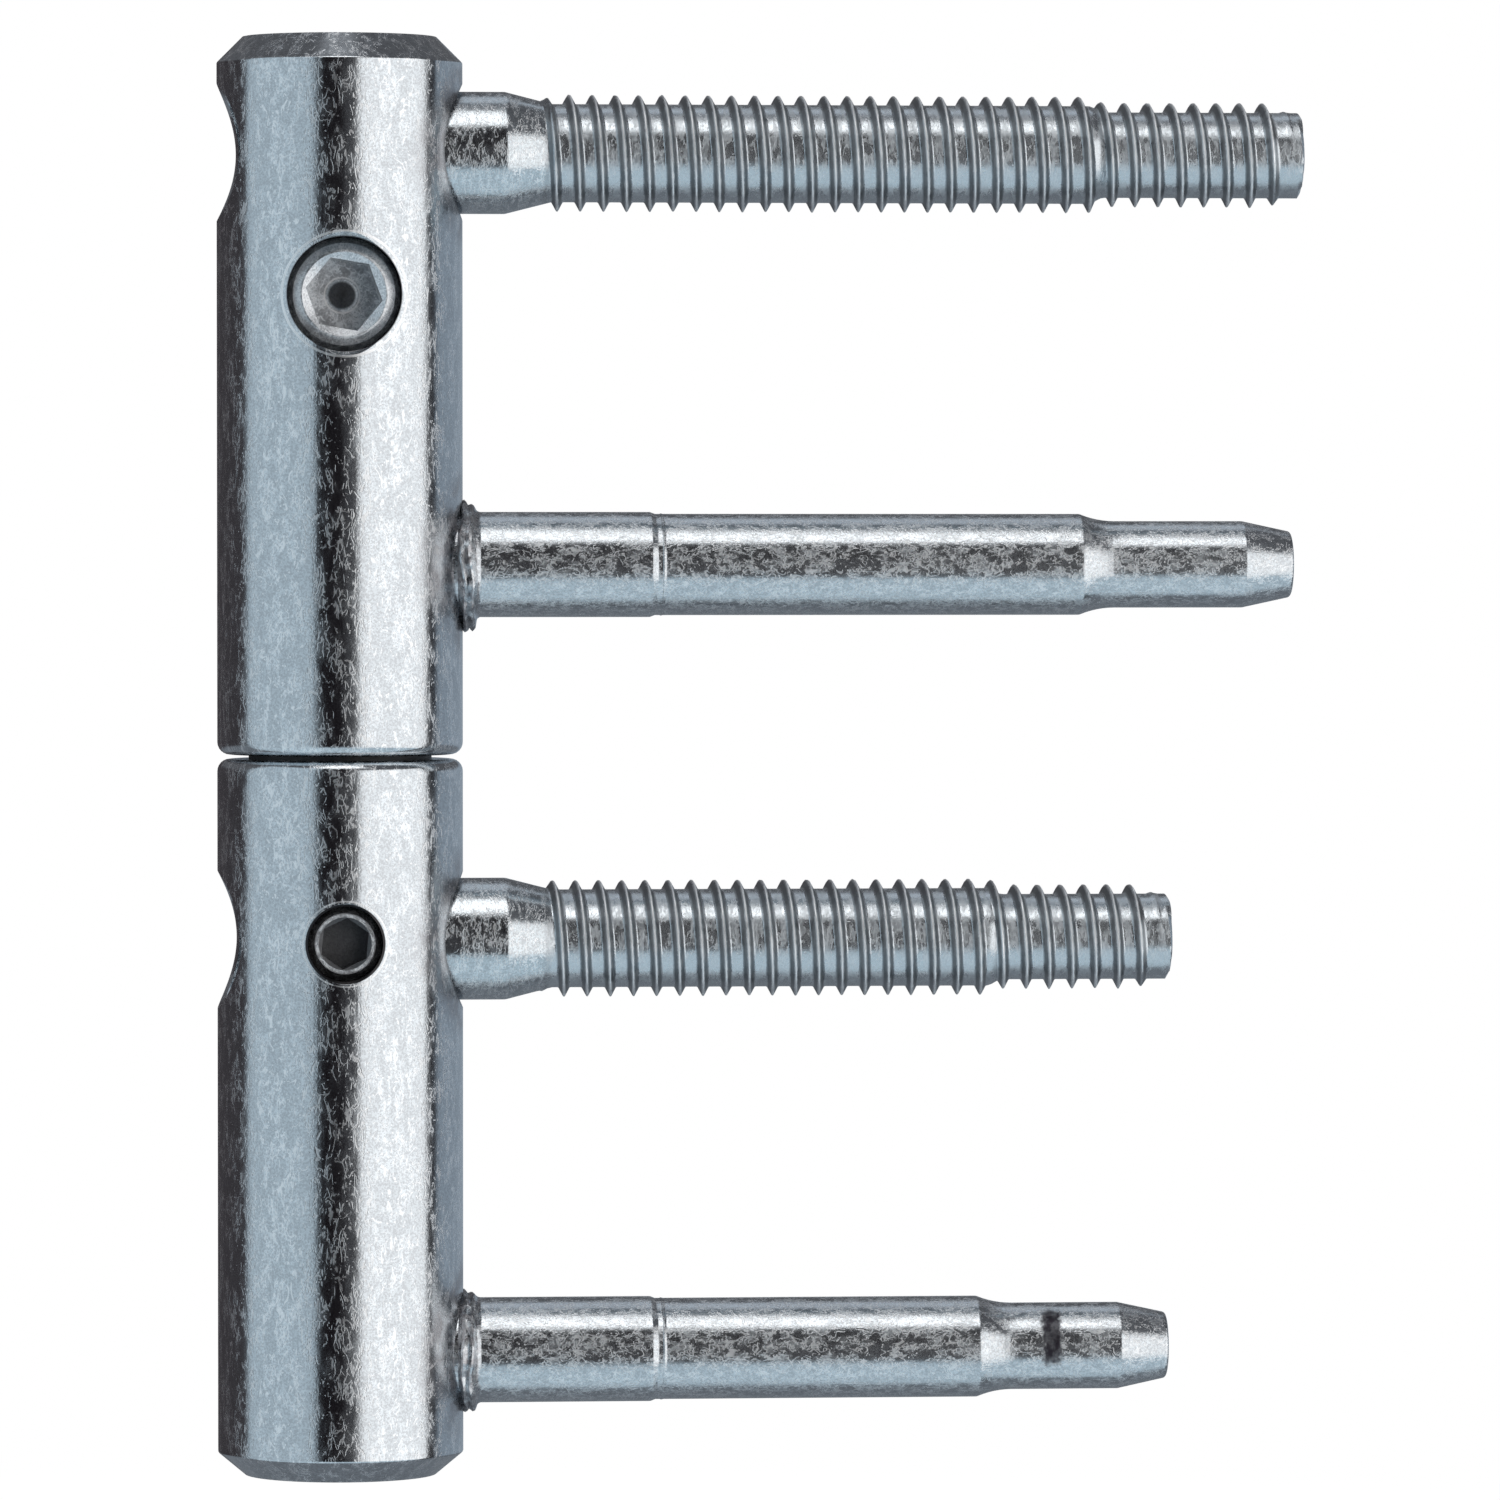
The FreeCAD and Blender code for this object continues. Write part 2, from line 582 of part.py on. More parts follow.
def make_thrust_piece():
    """The bevelled plug between the ball and the height screw's cone."""
    body = new_body("thrust_piece")
    sketch = new_sketch(body, "plug_outline", "XZ_Plane")
    top = f"({BEVEL_HEIGHT} - {THRUST_FOOT} + Sizes.thrust_crown)"
    outline(sketch, [("0", "0"), (THRUST_RADIUS, "0"), (THRUST_RADIUS, top), ("0", top)])
    turned(body, "plug", "Revolution", sketch, "V_Axis")
    bevel = new_sketch(body, "bevel_outline", "YZ_Plane", up=f"{BEVEL_HEIGHT} - {THRUST_FOOT}")
    side = f"({THRUST_RADIUS} + {CLEAR})"
    outline(bevel, [(f"-{side}", f"-{side}"), (side, side), (f"-{side}", side)])
    cut_through(body, "bevel", bevel)
    body.setExpression("Placement.Base.z", THRUST_FOOT)
    return body


def make_bearing_bush():
    """The flanged bush on the pin, whose flange parts the two barrels."""
    body = new_body("bearing_bush")
    sketch = new_sketch(body, "bush_outline", "XZ_Plane")
    bore = f"({PIN_RADIUS} + Sizes.running_gap)"
    flange = "Sizes.parting_gap"
    top = f"({BUSH_TOP} - Sizes.lower_barrel_length)"
    rim = f"{BUSH_RADIUS} + Sizes.bush_flange_rim"
    outline(sketch, [(bore, "0"), (rim, "0"), (rim, flange), (BUSH_RADIUS, flange), (BUSH_RADIUS, top), (bore, top)])
    turned(body, "bush", "Revolution", sketch, "V_Axis")
    body.setExpression("Placement.Base.z", "Sizes.lower_barrel_length")
    return body


def check_objects():
    """Stops where any object of the document has failed."""
    for item in document.Objects:
        if "Invalid" in item.State or "Error" in item.State:
            raise RuntimeError(f"{item.Label} has failed: {item.State}")


def write_piece(piece):
    """Writes one piece to its STEP file once its shape is sound."""
    shape = piece.Shape
    if shape.isNull() or not shape.isValid() or len(shape.Solids) != 1:
        raise RuntimeError(f"{piece.Label} isn't one sound solid")
    shape.exportStep(f"parts/{piece.Label}.step")
    box = shape.BoundBox
    print(
        f"{piece.Label:18} {shape.Volume:9.1f} mm3  x {box.XMin:7.2f} {box.XMax:7.2f}"
        f"  y {box.YMin:7.2f} {box.YMax:7.2f}  z {box.ZMin:7.2f} {box.ZMax:7.2f}"
    )


def main():
    """Builds every piece, checks it and writes it."""
    pieces = [
        make_lower_barrel(),
        make_shank(
            "lower_shank", "Sizes.lower_shank_height", "Sizes.lower_shank_shoulder",
            "Sizes.lower_shank_nose", "Sizes.lower_flash_diameter",
        ),
        make_stud(
            "lower_stud", LOWER_STUD, "Sizes.lower_stud_step", "Sizes.lower_stud_tail", "Sizes.lower_lock_dog"
        ),
        make_lower_lock_screw(),
        make_hinge_pin(),
        make_bearing_ball(),
        make_bearing_bush(),
        make_thrust_piece(),
        make_upper_barrel(),
        make_shank(
            "upper_shank", f"{UPPER_FACE} + Sizes.upper_shank_height", "Sizes.upper_shank_shoulder",
            "Sizes.upper_shank_nose", "Sizes.upper_flash_diameter",
        ),
        make_stud(
            "upper_stud", f"{UPPER_FACE} + {UPPER_STUD}", "Sizes.upper_stud_step", "Sizes.upper_stud_tail",
            "Sizes.upper_lock_dog",
        ),
        make_height_screw(),
        make_upper_lock_screw(),
    ]
    document.recompute()
    check_objects()
    os.makedirs("parts", exist_ok=True)
    for piece in pieces:
        write_piece(piece)


main()
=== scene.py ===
import math

import bmesh
import bpy
from bpy.props import FloatProperty, FloatVectorProperty, IntProperty, PointerProperty
from mathutils import Matrix, Vector, noise


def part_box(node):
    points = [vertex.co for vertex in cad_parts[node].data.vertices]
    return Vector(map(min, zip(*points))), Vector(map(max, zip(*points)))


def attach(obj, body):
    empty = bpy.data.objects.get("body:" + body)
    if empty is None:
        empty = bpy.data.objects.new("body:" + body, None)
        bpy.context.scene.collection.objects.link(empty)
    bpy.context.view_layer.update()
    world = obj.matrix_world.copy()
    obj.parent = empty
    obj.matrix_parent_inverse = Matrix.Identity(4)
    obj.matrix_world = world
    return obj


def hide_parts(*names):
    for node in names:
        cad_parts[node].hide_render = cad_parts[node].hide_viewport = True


bl_info = {
    "name": "Lift off hinge",
    "version": (1, 0, 0),
    "blender": (4, 5, 0),
    "location": "View3D > Sidebar > Hinge",
    "description": "Fine forms, finishes and studio for a round barrel lift off hinge",
    "category": "Object",
}

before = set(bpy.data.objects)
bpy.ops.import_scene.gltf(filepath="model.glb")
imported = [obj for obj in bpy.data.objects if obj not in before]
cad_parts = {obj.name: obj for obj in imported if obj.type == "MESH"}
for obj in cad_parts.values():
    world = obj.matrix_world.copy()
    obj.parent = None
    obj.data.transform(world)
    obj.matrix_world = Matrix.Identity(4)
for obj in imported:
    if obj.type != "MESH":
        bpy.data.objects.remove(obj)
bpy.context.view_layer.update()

MM = 0.001


def middle(node):
    """The middle of a node's box at rest."""
    low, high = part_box(node)
    return (low + high) / 2


def size(name, description, millimetres):
    """A length of the hinge, shown in the scene's unit."""
    return FloatProperty(
        name=name, description=description, default=millimetres * MM, unit="LENGTH", precision=5
    )


def angle_property(name, description, degrees):
    """An angle of the hinge or of its studio."""
    return FloatProperty(name=name, description=description, default=math.radians(degrees), subtype="ANGLE")


def colour_property(name, description, colour):
    """A linear colour."""
    return FloatVectorProperty(name=name, description=description, default=colour, size=3, subtype="COLOR")


class HingeBarrelSizes(bpy.types.PropertyGroup):
    """Sizes of the two barrels."""

    diameter: size("Diameter", "Outside of both barrels", 22.0)
    top_chamfer: size("Top chamfer", "Free end of the upper barrel", 2.3)
    bottom_chamfer_width: size("Bottom chamfer width", "Free end of the lower barrel, across", 2.4)
    bottom_chamfer_height: size("Bottom chamfer height", "Free end of the lower barrel, along", 2.0)
    inner_round: size("Inner end round", "Edges where the barrels meet", 1.1)
    edge_round: size("Edge round", "Edges of the chamfers at the free ends", 0.28)
    cross_hole: size("Cross hole", "Hole for a stud", 11.1)
    cross_hole_chamfer: size("Cross hole chamfer", "Broken edge of that hole", 0.65)
    pin_bore: size("Pin bore", "Bore above the bush", 10.6)
    bush_bore: size("Bush bore", "Bore around the bush", 13.1)
    height_hole: size("Height screw hole", "Tapped hole at its root", 10.2)
    height_mouth: size("Height screw countersink", "At the front of the barrel", 11.0)
    height_depth: size("Height screw hole depth", "From the front of the barrel", 17.5)
    lower_lock_hole: size("Lower lock screw hole", "Tapped hole at its root", 6.7)
    lower_lock_mouth: size("Lower lock screw countersink", "At the front of the barrel", 7.25)
    upper_lock_hole: size("Upper lock screw hole", "Tapped hole at its root", 5.0)
    upper_lock_mouth: size("Upper lock screw countersink", "In the top face", 5.7)
    lock_seat: size("Lock seat", "End of a lock screw's hole, from the stud's axis", 4.4)
    sides: IntProperty(name="Sides", description="Facets round a barrel", default=192, min=24)


class HingeShankSizes(bpy.types.PropertyGroup):
    """Sizes of the two welded shanks."""

    root_diameter: size("Root diameter", "First stretch", 9.44)
    diameter: size("Diameter", "Long stretch", 9.1)
    end_diameter: size("End diameter", "End stretch", 7.8)
    tip_diameter: size("Tip diameter", "End face", 5.9)
    root_end: size("Root end", "First stretch, from the turning axis", 28.4)
    taper_slope: angle_property("Taper slope", "Steepest side of the hollow taper", 22.3)
    taper_round: size("Taper round", "Radius of the hollow taper", 8.3)
    point_length: size("Point length", "Cone at the free end", 4.4)
    lower_shoulder: size("Lower shoulder", "Start of the taper, from the turning axis", 57.4)
    upper_shoulder: size("Upper shoulder", "Start of the taper, from the turning axis", 66.7)
    lower_bead: size("Lower bead", "Weld bead above the lower shank's root", 0.83)
    upper_bead: size("Upper bead", "Weld bead above the upper shank's root", 1.13)
    bead_width: size("Bead width", "From the barrel's side to the bead's last ridge", 1.0)
    ink_place: size("Ink place", "Middle of the ink mark, from the turning axis", 63.9)
    ink_height: size("Ink height", "Middle of the ink mark, above the lower end", 11.95)
    sides: IntProperty(name="Sides", description="Facets round a shank", default=128, min=24)


class HingeStudSizes(bpy.types.PropertyGroup):
    """Sizes of the two threaded studs."""

    collar: size("Collar", "Diameter in the cross hole", 10.94)
    groove: size("Groove", "Diameter under the lock screw", 9.34)
    groove_width: size("Groove width", "Along the stud", 5.7)
    head_chamfer: size("Head chamfer", "Socket end", 0.5)
    collar_end: size("Collar end", "From the turning axis", 14.8)
    neck_length: size("Neck length", "Cone to the thread's root", 4.2)
    run_out: size("Run-out", "Thread on the cone, before its root", 1.4)
    upper_crest: size("Upper crest", "A crest at the top of the upper stud, from the turning axis", 20.55)
    lower_crest: size("Lower crest", "A crest at the top of the lower stud, from the turning axis", 21.15)
    collar_round: size("Collar round", "Radius between collar and cone", 1.2)
    root: size("Thread root", "Diameter between the ridges", 8.8)
    crest: size("Thread crest", "Diameter over the ridges", 10.45)
    end_root: size("End thread root", "Diameter between the ridges of the end stretch", 7.7)
    end_crest: size("End thread crest", "Diameter over the ridges of the end stretch", 9.4)
    pitch: size("Pitch", "Advance of the thread for each turn", 2.09)
    ridge: size("Ridge", "Width of a thread ridge at its foot", 1.04)
    lower_step: size("Lower step", "End stretch of the lower stud, from the turning axis", 58.3)
    upper_step: size("Upper step", "End stretch of the upper stud, from the turning axis", 67.5)
    step_length: size("Step length", "Cone between the two stretches", 1.4)
    tip_round: size("Tip round", "Far end of a stud", 1.5)
    socket: size("Socket", "Across flats", 5.0)
    socket_depth: size("Socket depth", "Hexagon socket", 4.5)
    sides: IntProperty(name="Sides", description="Facets round a stud", default=96, min=24)


class HingeScrewSizes(bpy.types.PropertyGroup):
    """Sizes of the three set screws."""

    height_diameter: size("Height screw", "Diameter at the thread's root", 10.12)
    height_face: size("Height screw face", "Flat face inside the bevel", 7.82)
    height_ring: size("Height screw ring", "Outside of the bright bevel round the face", 9.1)
    height_slope: size("Height screw bevel", "Bright bevel along the screw", 0.32)
    height_start: size("Height screw thread start", "Steep start of the thread below the face", 1.1)
    height_tip: size("Height screw tip", "Flat on the point", 3.2)
    height_socket: size("Height screw socket", "Across flats", 6.0)
    height_socket_depth: size("Height screw socket depth", "Hexagon socket", 4.8)
    height_socket_mouth: size("Height screw socket mouth", "Countersink of the socket", 7.5)
    height_dimple: size("Height screw dimple", "Drilled in the socket's floor", 2.8)
    height_turn: angle_property("Height screw turn", "First corner of the socket below level", 9.8)
    lower_diameter: size("Lower lock screw", "Diameter at the thread's root", 6.62)
    lower_bevel: size("Lower lock screw bevel", "Around the socket face", 0.6)
    lower_dog: size("Lower lock screw point", "Diameter of its dog point", 5.5)
    lower_socket: size("Lower lock screw socket", "Across flats", 4.0)
    lower_socket_depth: size("Lower lock screw socket depth", "Hexagon socket", 2.5)
    lower_socket_mouth: size("Lower lock screw socket mouth", "Countersink of the socket", 4.7)
    lower_turn: angle_property("Lower lock screw turn", "First corner of the socket below level", -25.0)
    upper_diameter: size("Upper lock screw", "Diameter at the thread's root", 4.92)
    upper_bevel: size("Upper lock screw bevel", "Around the socket face", 0.5)
    upper_dog: size("Upper lock screw point", "Diameter of its dog point", 4.0)
    upper_socket: size("Upper lock screw socket", "Across flats", 3.0)
    upper_socket_depth: size("Upper lock screw socket depth", "Hexagon socket", 2.2)
    upper_socket_mouth: size("Upper lock screw socket mouth", "Countersink of the socket", 3.6)
    dog_length: size("Dog length", "Point of both lock screws", 1.0)
    sides: IntProperty(name="Sides", description="Facets round a screw", default=96, min=24)


class HingeFinish(bpy.types.PropertyGroup):
    """Colours of the finishes."""

    zinc: colour_property("Zinc", "Blue passivated zinc on barrels and shanks", (0.63, 0.67, 0.70))
    zinc_dull: colour_property("Dull zinc", "Dull spots in that zinc", (0.44, 0.45, 0.47))
    stud: colour_property("Stud", "Zinc on the threaded studs", (0.62, 0.67, 0.70))
    screw: colour_property("Screw", "Zinc on the set screws", (0.68, 0.70, 0.72))
    pin: colour_property("Pin", "Ground steel of pin and thrust piece", (0.62, 0.62, 0.62))
    ball: colour_property("Ball", "Polished bearing steel", (0.74, 0.75, 0.76))
    bush: colour_property("Bush", "Black bearing plastic", (0.030, 0.030, 0.033))
    ink: colour_property("Ink", "Dark mark on the lower shank", (0.045, 0.04, 0.05))


class HingeStudio(bpy.types.PropertyGroup):
    """Camera, floor and light."""

    azimuth: angle_property("Azimuth", "Camera left of the front", -5.0)
    elevation: angle_property("Elevation", "Camera above the level", 1.3)
    distance: size("Distance", "Camera from the point it looks at", 850.0)
    aim_across: size("Aim across", "Point that the camera looks at, along the shanks", 36.9)
    aim_height: size("Aim height", "Point that the camera looks at, above the lower end", 64.9)
    lens: FloatProperty(name="Lens", description="Focal length in mm on a 36 mm sensor", default=226.6)
    floor_drop: size("Floor drop", "Floor below the hinge's lower end", 30.0)
    floor_radius: size("Floor radius", "Floor around the hinge", 3000.0)


def deselect_everything():
    """Leaves edit mode with nothing selected, so that an operator acts on its own piece only."""
    if bpy.context.mode != "OBJECT":
        bpy.ops.object.mode_set(mode="OBJECT")
    bpy.ops.object.select_all(action="DESELECT")


def pick(piece):
    """Selects one piece and makes it the active one."""
    deselect_everything()
    piece.select_set(True)
    bpy.context.view_layer.objects.active = piece


def edit(piece):
    """Opens a piece for editing."""
    pick(piece)
    bpy.ops.object.mode_set(mode="EDIT")


def select_faces(piece, wanted):
    """Selects the faces of the piece in edit mode that are wanted, and nothing else."""
    bpy.ops.mesh.select_mode(type="FACE")
    bpy.ops.mesh.select_all(action="DESELECT")
    shape = bmesh.from_edit_mesh(piece.data)
    for face in shape.faces:
        face.select_set(wanted(face))
    shape.select_flush_mode()
    bmesh.update_edit_mesh(piece.data)


def guarded(profile):
    """The profile with a point near each end of its long stretches, which keeps their shading straight."""
    near = 0.08 * MM
    points = [profile[0]]
    for start, end in zip(profile, profile[1:]):
        first, last = Vector(start), Vector(end)
        length = (last - first).length
        if length > 5 * near:
            points.append(tuple(first.lerp(last, near / length)))
            points.append(tuple(last.lerp(first, near / length)))
        points.append(end)
    return points


def extrude_rings(profile):
    """Extrudes the selected disc along Z from ring to ring of a profile of heights and radii."""
    rings = guarded(profile)
    for (low, narrow), (high, wide) in zip(rings, rings[1:]):
        bpy.ops.mesh.extrude_region_move(TRANSFORM_OT_translate={"value": (0, 0, high - low)})
        bpy.ops.transform.resize(value=(wide / narrow, wide / narrow, 1), center_override=(0, 0, high))


def recalculate_normals():
    """Turns all faces of the piece in edit mode outwards and leaves edit mode."""
    bpy.ops.mesh.select_all(action="SELECT")
    bpy.ops.mesh.normals_make_consistent(inside=False)
    bpy.ops.object.mode_set(mode="OBJECT")


def disc(name, sides, radius, height):
    """A level disc round Z, opened for editing with its face selected."""
    deselect_everything()
    place = (0, 0, height)
    bpy.ops.mesh.primitive_circle_add(vertices=sides, radius=radius, fill_type="NGON", location=place)
    piece = bpy.context.object
    piece.name = name
    piece.data.name = name
    bpy.ops.object.transform_apply(location=True, rotation=False, scale=False)
    edit(piece)
    bpy.ops.mesh.select_all(action="SELECT")
    return piece


def turned(name, profile, sides):
    """A closed piece turned round Z through a profile of heights and radii."""
    height, radius = profile[0]
    piece = disc(name, sides, radius, height)
    extrude_rings(profile)
    recalculate_normals()
    return piece


def round_corner(before, corner, after, radius, steps):
    """Profile points of a rounded corner between two straight stretches."""
    point = Vector(corner)
    back = (Vector(before) - point).normalized()
    ahead = (Vector(after) - point).normalized()
    half = back.angle(ahead) / 2
    reach = radius / math.tan(half)
    centre = point + (back + ahead).normalized() * radius / math.sin(half)
    start = point + back * reach - centre
    end = point + ahead * reach - centre
    points = []
    for index in range(steps + 1):
        spoke = start.slerp(end, index / steps)
        points.append(tuple(centre + spoke * radius))
    return points


def rounded(profile, rounds, steps=3):
    """The profile with the corners at the given places rounded by their radii."""
    points = []
    for index, corner in enumerate(profile):
        if index in rounds:
            before, after = profile[index - 1], profile[index + 1]
            points += round_corner(before, corner, after, rounds[index], steps)
        else:
            points.append(corner)
    return points


def lay(piece, turn, place):
    """Turns and moves a piece into the hinge's frame, and puts that into its mesh."""
    pick(piece)
    piece.matrix_world = Matrix.Translation(place) @ turn.to_4x4()
    bpy.ops.object.transform_apply(location=True, rotation=True, scale=True)
    return piece


ALONG_X = Matrix.Rotation(math.radians(90), 3, "Y")
STUD_TURN = ALONG_X @ Matrix.Rotation(math.radians(180), 3, "Z")
INTO_FRONT = Matrix.Rotation(math.radians(-90), 3, "X")
DOWNWARDS = Matrix.Rotation(math.radians(180), 3, "X")
UPRIGHT = Matrix.Identity(3)


def cut(piece, *cutters):
    """Cuts the cutters out of the piece."""
    for cutter in cutters:
        pick(piece)
        bpy.ops.object.modifier_add(type="BOOLEAN")
        modifier = piece.modifiers[-1]
        modifier.operation = "DIFFERENCE"
        modifier.solver = "EXACT"
        modifier.object = cutter
        bpy.ops.object.modifier_apply(modifier=modifier.name)
        bpy.data.objects.remove(cutter)


def tidy(piece, sharp=30):
    """Merges doubles, turns faces outwards and smooths all edges but the sharp ones."""
    edit(piece)
    bpy.ops.mesh.select_all(action="SELECT")
    bpy.ops.mesh.remove_doubles(threshold=0.0005 * MM)
    recalculate_normals()
    bpy.ops.object.shade_smooth_by_angle(angle=math.radians(sharp))


def finish_piece(piece, node, body, material):
    """Gives a piece its finish and its body, and hides the node that it stands for."""
    piece.data.materials.clear()
    piece.data.materials.append(material)
    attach(piece, body)
    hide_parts(node)
    return piece


def hexagon_cutter(width, depth, turn, mouth, sides):
    """A hexagon prism down from z = 0, with the countersink of a socket's mouth."""
    over, tip = 1.0 * MM, 0.05 * MM
    corner = width / math.sqrt(3)
    first_corner = Matrix.Rotation(turn - math.radians(90), 3, "Z")
    prism = lay(turned("hexagon", [(-over, corner), (depth, corner)], 6), first_corner, (0, 0, 0))
    radius = mouth / 2
    slope = math.tan(math.radians(60))
    cone = turned("mouth", [(-over, radius + over * slope), ((radius - tip) / slope, tip)], sides)
    return prism, cone


def saddle(radius, across):
    """How far a barrel's surface lies from its axis plane at a distance across."""
    return math.sqrt(max(radius * radius - across * across, 0.0))


def cross_hole_cutter(sizes, height):
    """The cutter of a stud's hole, flared so that both mouths have an even bevel on the round barrel."""
    barrel = sizes.diameter / 2
    hole = sizes.cross_hole / 2
    bevel = sizes.cross_hole_chamfer
    over = 1.5
    reach = barrel + 4 * MM
    wide = hole + over * bevel
    profile = [(-reach, wide), (-barrel, wide), (-hole, hole), (hole, hole), (barrel, wide), (reach, wide)]
    cutter = turned("cross_hole", profile, sizes.sides)
    for vertex in cutter.data.vertices:
        side = 1 if vertex.co.z > 0 else -1
        level = abs(vertex.co.z)
        spoke = Vector((vertex.co.x, vertex.co.y, 0)).normalized()
        inner = saddle(barrel, hole * spoke.y) - bevel
        outer = saddle(barrel, (hole + bevel) * spoke.y)
        if level < hole + 0.1 * MM:
            vertex.co.z = side * inner
        elif level < barrel + 0.1 * MM:
            vertex.co.z = side * (inner + over * (outer - inner))
    return lay(cutter, ALONG_X, (0, 0, height))


def screw_hole_cutter(mouth, hole, depth, sides):
    """The cutter of a tapped hole down from z = 0, countersunk at 45 degrees."""
    over = 2.0 * MM
    sink = (mouth - hole) / 2
    profile = [(-over, mouth / 2 + over), (sink, hole / 2), (depth, hole / 2)]
    return turned("screw_hole", profile, sides)


def make_lower_barrel(sizes):
    """The lower barrel with the pin's seat, the stud's hole and the lock screw's hole."""
    radius = sizes.diameter / 2
    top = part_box("lower_barrel")[1].z
    pin_low, pin_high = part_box("hinge_pin")
    pin = (pin_high.x - pin_low.x) / 2
    profile = rounded([
        (0.0, radius - sizes.bottom_chamfer_width),
        (sizes.bottom_chamfer_height, radius),
        (top, radius),
        (top, pin),
        (pin_low.z, pin),
    ], {2: sizes.inner_round, 1: sizes.edge_round}, 6)
    barrel = turned("lower_barrel_turned", profile, sizes.sides)
    stud_height = middle("lower_stud").z
    lock = screw_hole_cutter(
        sizes.lower_lock_mouth, sizes.lower_lock_hole, radius - sizes.lock_seat, sizes.sides
    )
    lay(lock, INTO_FRONT, (0, -radius, stud_height))
    cut(barrel, cross_hole_cutter(sizes, stud_height), lock)
    tidy(barrel)
    return barrel


def make_upper_barrel(sizes):
    """The upper barrel with its stepped bore and the holes for its stud and its two screws."""
    radius = sizes.diameter / 2
    low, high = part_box("upper_barrel")
    bush_room, thrust_room, lead = 0.5 * MM, 2.4 * MM, 0.3 * MM
    bush_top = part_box("bearing_bush")[1].z + bush_room
    bore_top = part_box("thrust_piece")[1].z + thrust_room
    profile = rounded([
        (bore_top, sizes.pin_bore / 2),
        (bush_top, sizes.pin_bore / 2),
        (bush_top, sizes.bush_bore / 2),
        (low.z + lead, sizes.bush_bore / 2),
        (low.z, sizes.bush_bore / 2 + lead),
        (low.z, radius),
        (high.z - sizes.top_chamfer, radius),
        (high.z, radius - sizes.top_chamfer),
    ], {5: sizes.inner_round, 6: sizes.edge_round}, 6)
    barrel = turned("upper_barrel_turned", profile, sizes.sides)
    stud_height = middle("upper_stud").z
    height = screw_hole_cutter(sizes.height_mouth, sizes.height_hole, sizes.height_depth, sizes.sides)
    lay(height, INTO_FRONT, (0, -radius, middle("height_screw").z))
    depth = high.z - stud_height - sizes.lock_seat
    lock = screw_hole_cutter(sizes.upper_lock_mouth, sizes.upper_lock_hole, depth, sizes.sides)
    lay(lock, DOWNWARDS, (0, 0, high.z))
    cut(barrel, cross_hole_cutter(sizes, stud_height), height, lock)
    tidy(barrel)
    return barrel


def shank_profile(sizes, barrel_radius, shoulder, end, bead_height):
    """Distances from the turning axis and radii of a shank, from inside its barrel to its free end."""
    root = sizes.root_diameter / 2
    wide = sizes.diameter / 2
    narrow = sizes.end_diameter / 2
    tip = sizes.tip_diameter / 2
    taper = (wide - narrow) / math.tan(sizes.taper_slope)
    shares = (
        (-1.3, 0.0), (-0.45, 0.10), (-0.2, 0.55), (-0.05, 0.90), (0.12, 1.0), (0.30, 0.88), (0.46, 0.66),
        (0.58, 0.74), (0.76, 0.92), (0.92, 0.84), (1.06, 0.56), (1.18, 0.28), (1.34, 0.09), (1.55, 0.0),
    )
    bead = [
        (barrel_radius + sizes.bead_width * along, root + bead_height * share) for along, share in shares
    ]
    step = 0.55 * MM
    tool_mark = (
        (-0.10, 0.0), (0.34, 0.0), (0.40, 0.045), (0.46, 0.045), (0.48, 0.040), (0.60, 0.008), (0.63, 0.0),
    )
    body = rounded([
        bead[-1],
        (sizes.root_end - step, root),
        *((sizes.root_end + along * MM, wide + height * MM) for along, height in tool_mark),
        (shoulder, wide),
        (shoulder + taper, narrow),
        (end - sizes.point_length, narrow),
        (end, tip),
        (end, tip * 0.5),
    ], {9: 0.6 * MM, 10: sizes.taper_round, 11: 0.5 * MM, 12: 0.35 * MM}, 6)
    return bead + body[1:]


def ring_noise(angle, ripples, seed):
    """Even noise round a ring, with about this many ripples to the turn."""
    reach = ripples / math.tau
    return noise.noise(Vector((math.cos(angle) * reach, math.sin(angle) * reach, seed)))


def make_shank(name, node, sizes, barrel_radius, shoulder, bead_height, seed):
    """A shank with the uneven bead of its weld, shaped to the round barrel at its root."""
    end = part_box(node)[1].x
    shank = turned(name, shank_profile(sizes, barrel_radius, shoulder, end, bead_height), sizes.sides)
    root = sizes.root_diameter / 2
    bead_end = barrel_radius + 1.6 * sizes.bead_width
    settle = 0.25
    for vertex in shank.data.vertices:
        spoke = math.hypot(vertex.co.x, vertex.co.y)
        near = 1 - ramp(vertex.co.z, bead_end - 0.6 * MM, bead_end + 1.5 * MM)
        if near <= 0.0 or spoke == 0.0:
            continue
        angle = math.atan2(vertex.co.y, vertex.co.x)
        share = min(max((spoke - root) / bead_height, 0.0), 1.0)
        row = seed + vertex.co.z / MM * 0.9
        ripple_heights = ((9, 0.40), (26, 0.30), (60, 0.16))
        rough = sum(ring_noise(angle, ripples, row) * height for ripples, height in ripple_heights)
        droop = math.cos(angle) * 0.22
        new_spoke = spoke + bead_height * (rough + droop) * share
        vertex.co.x *= new_spoke / spoke
        vertex.co.y *= new_spoke / spoke
        sag = (barrel_radius - saddle(barrel_radius, vertex.co.y)) * settle * near
        wave = (ring_noise(angle, 7, seed + 9) * 0.50 + ring_noise(angle, 22, row) * 0.22) * MM * share
        vertex.co.z += wave - sag
    lay(shank, ALONG_X, (0, 0, middle(node).z))
    tidy(shank)
    return shank


def ramp(value, start, end):
    """0 before start, 1 after end, and a smooth rise between."""
    share = min(max((value - start) / (end - start), 0.0), 1.0)
    return share * share * (3 - 2 * share)


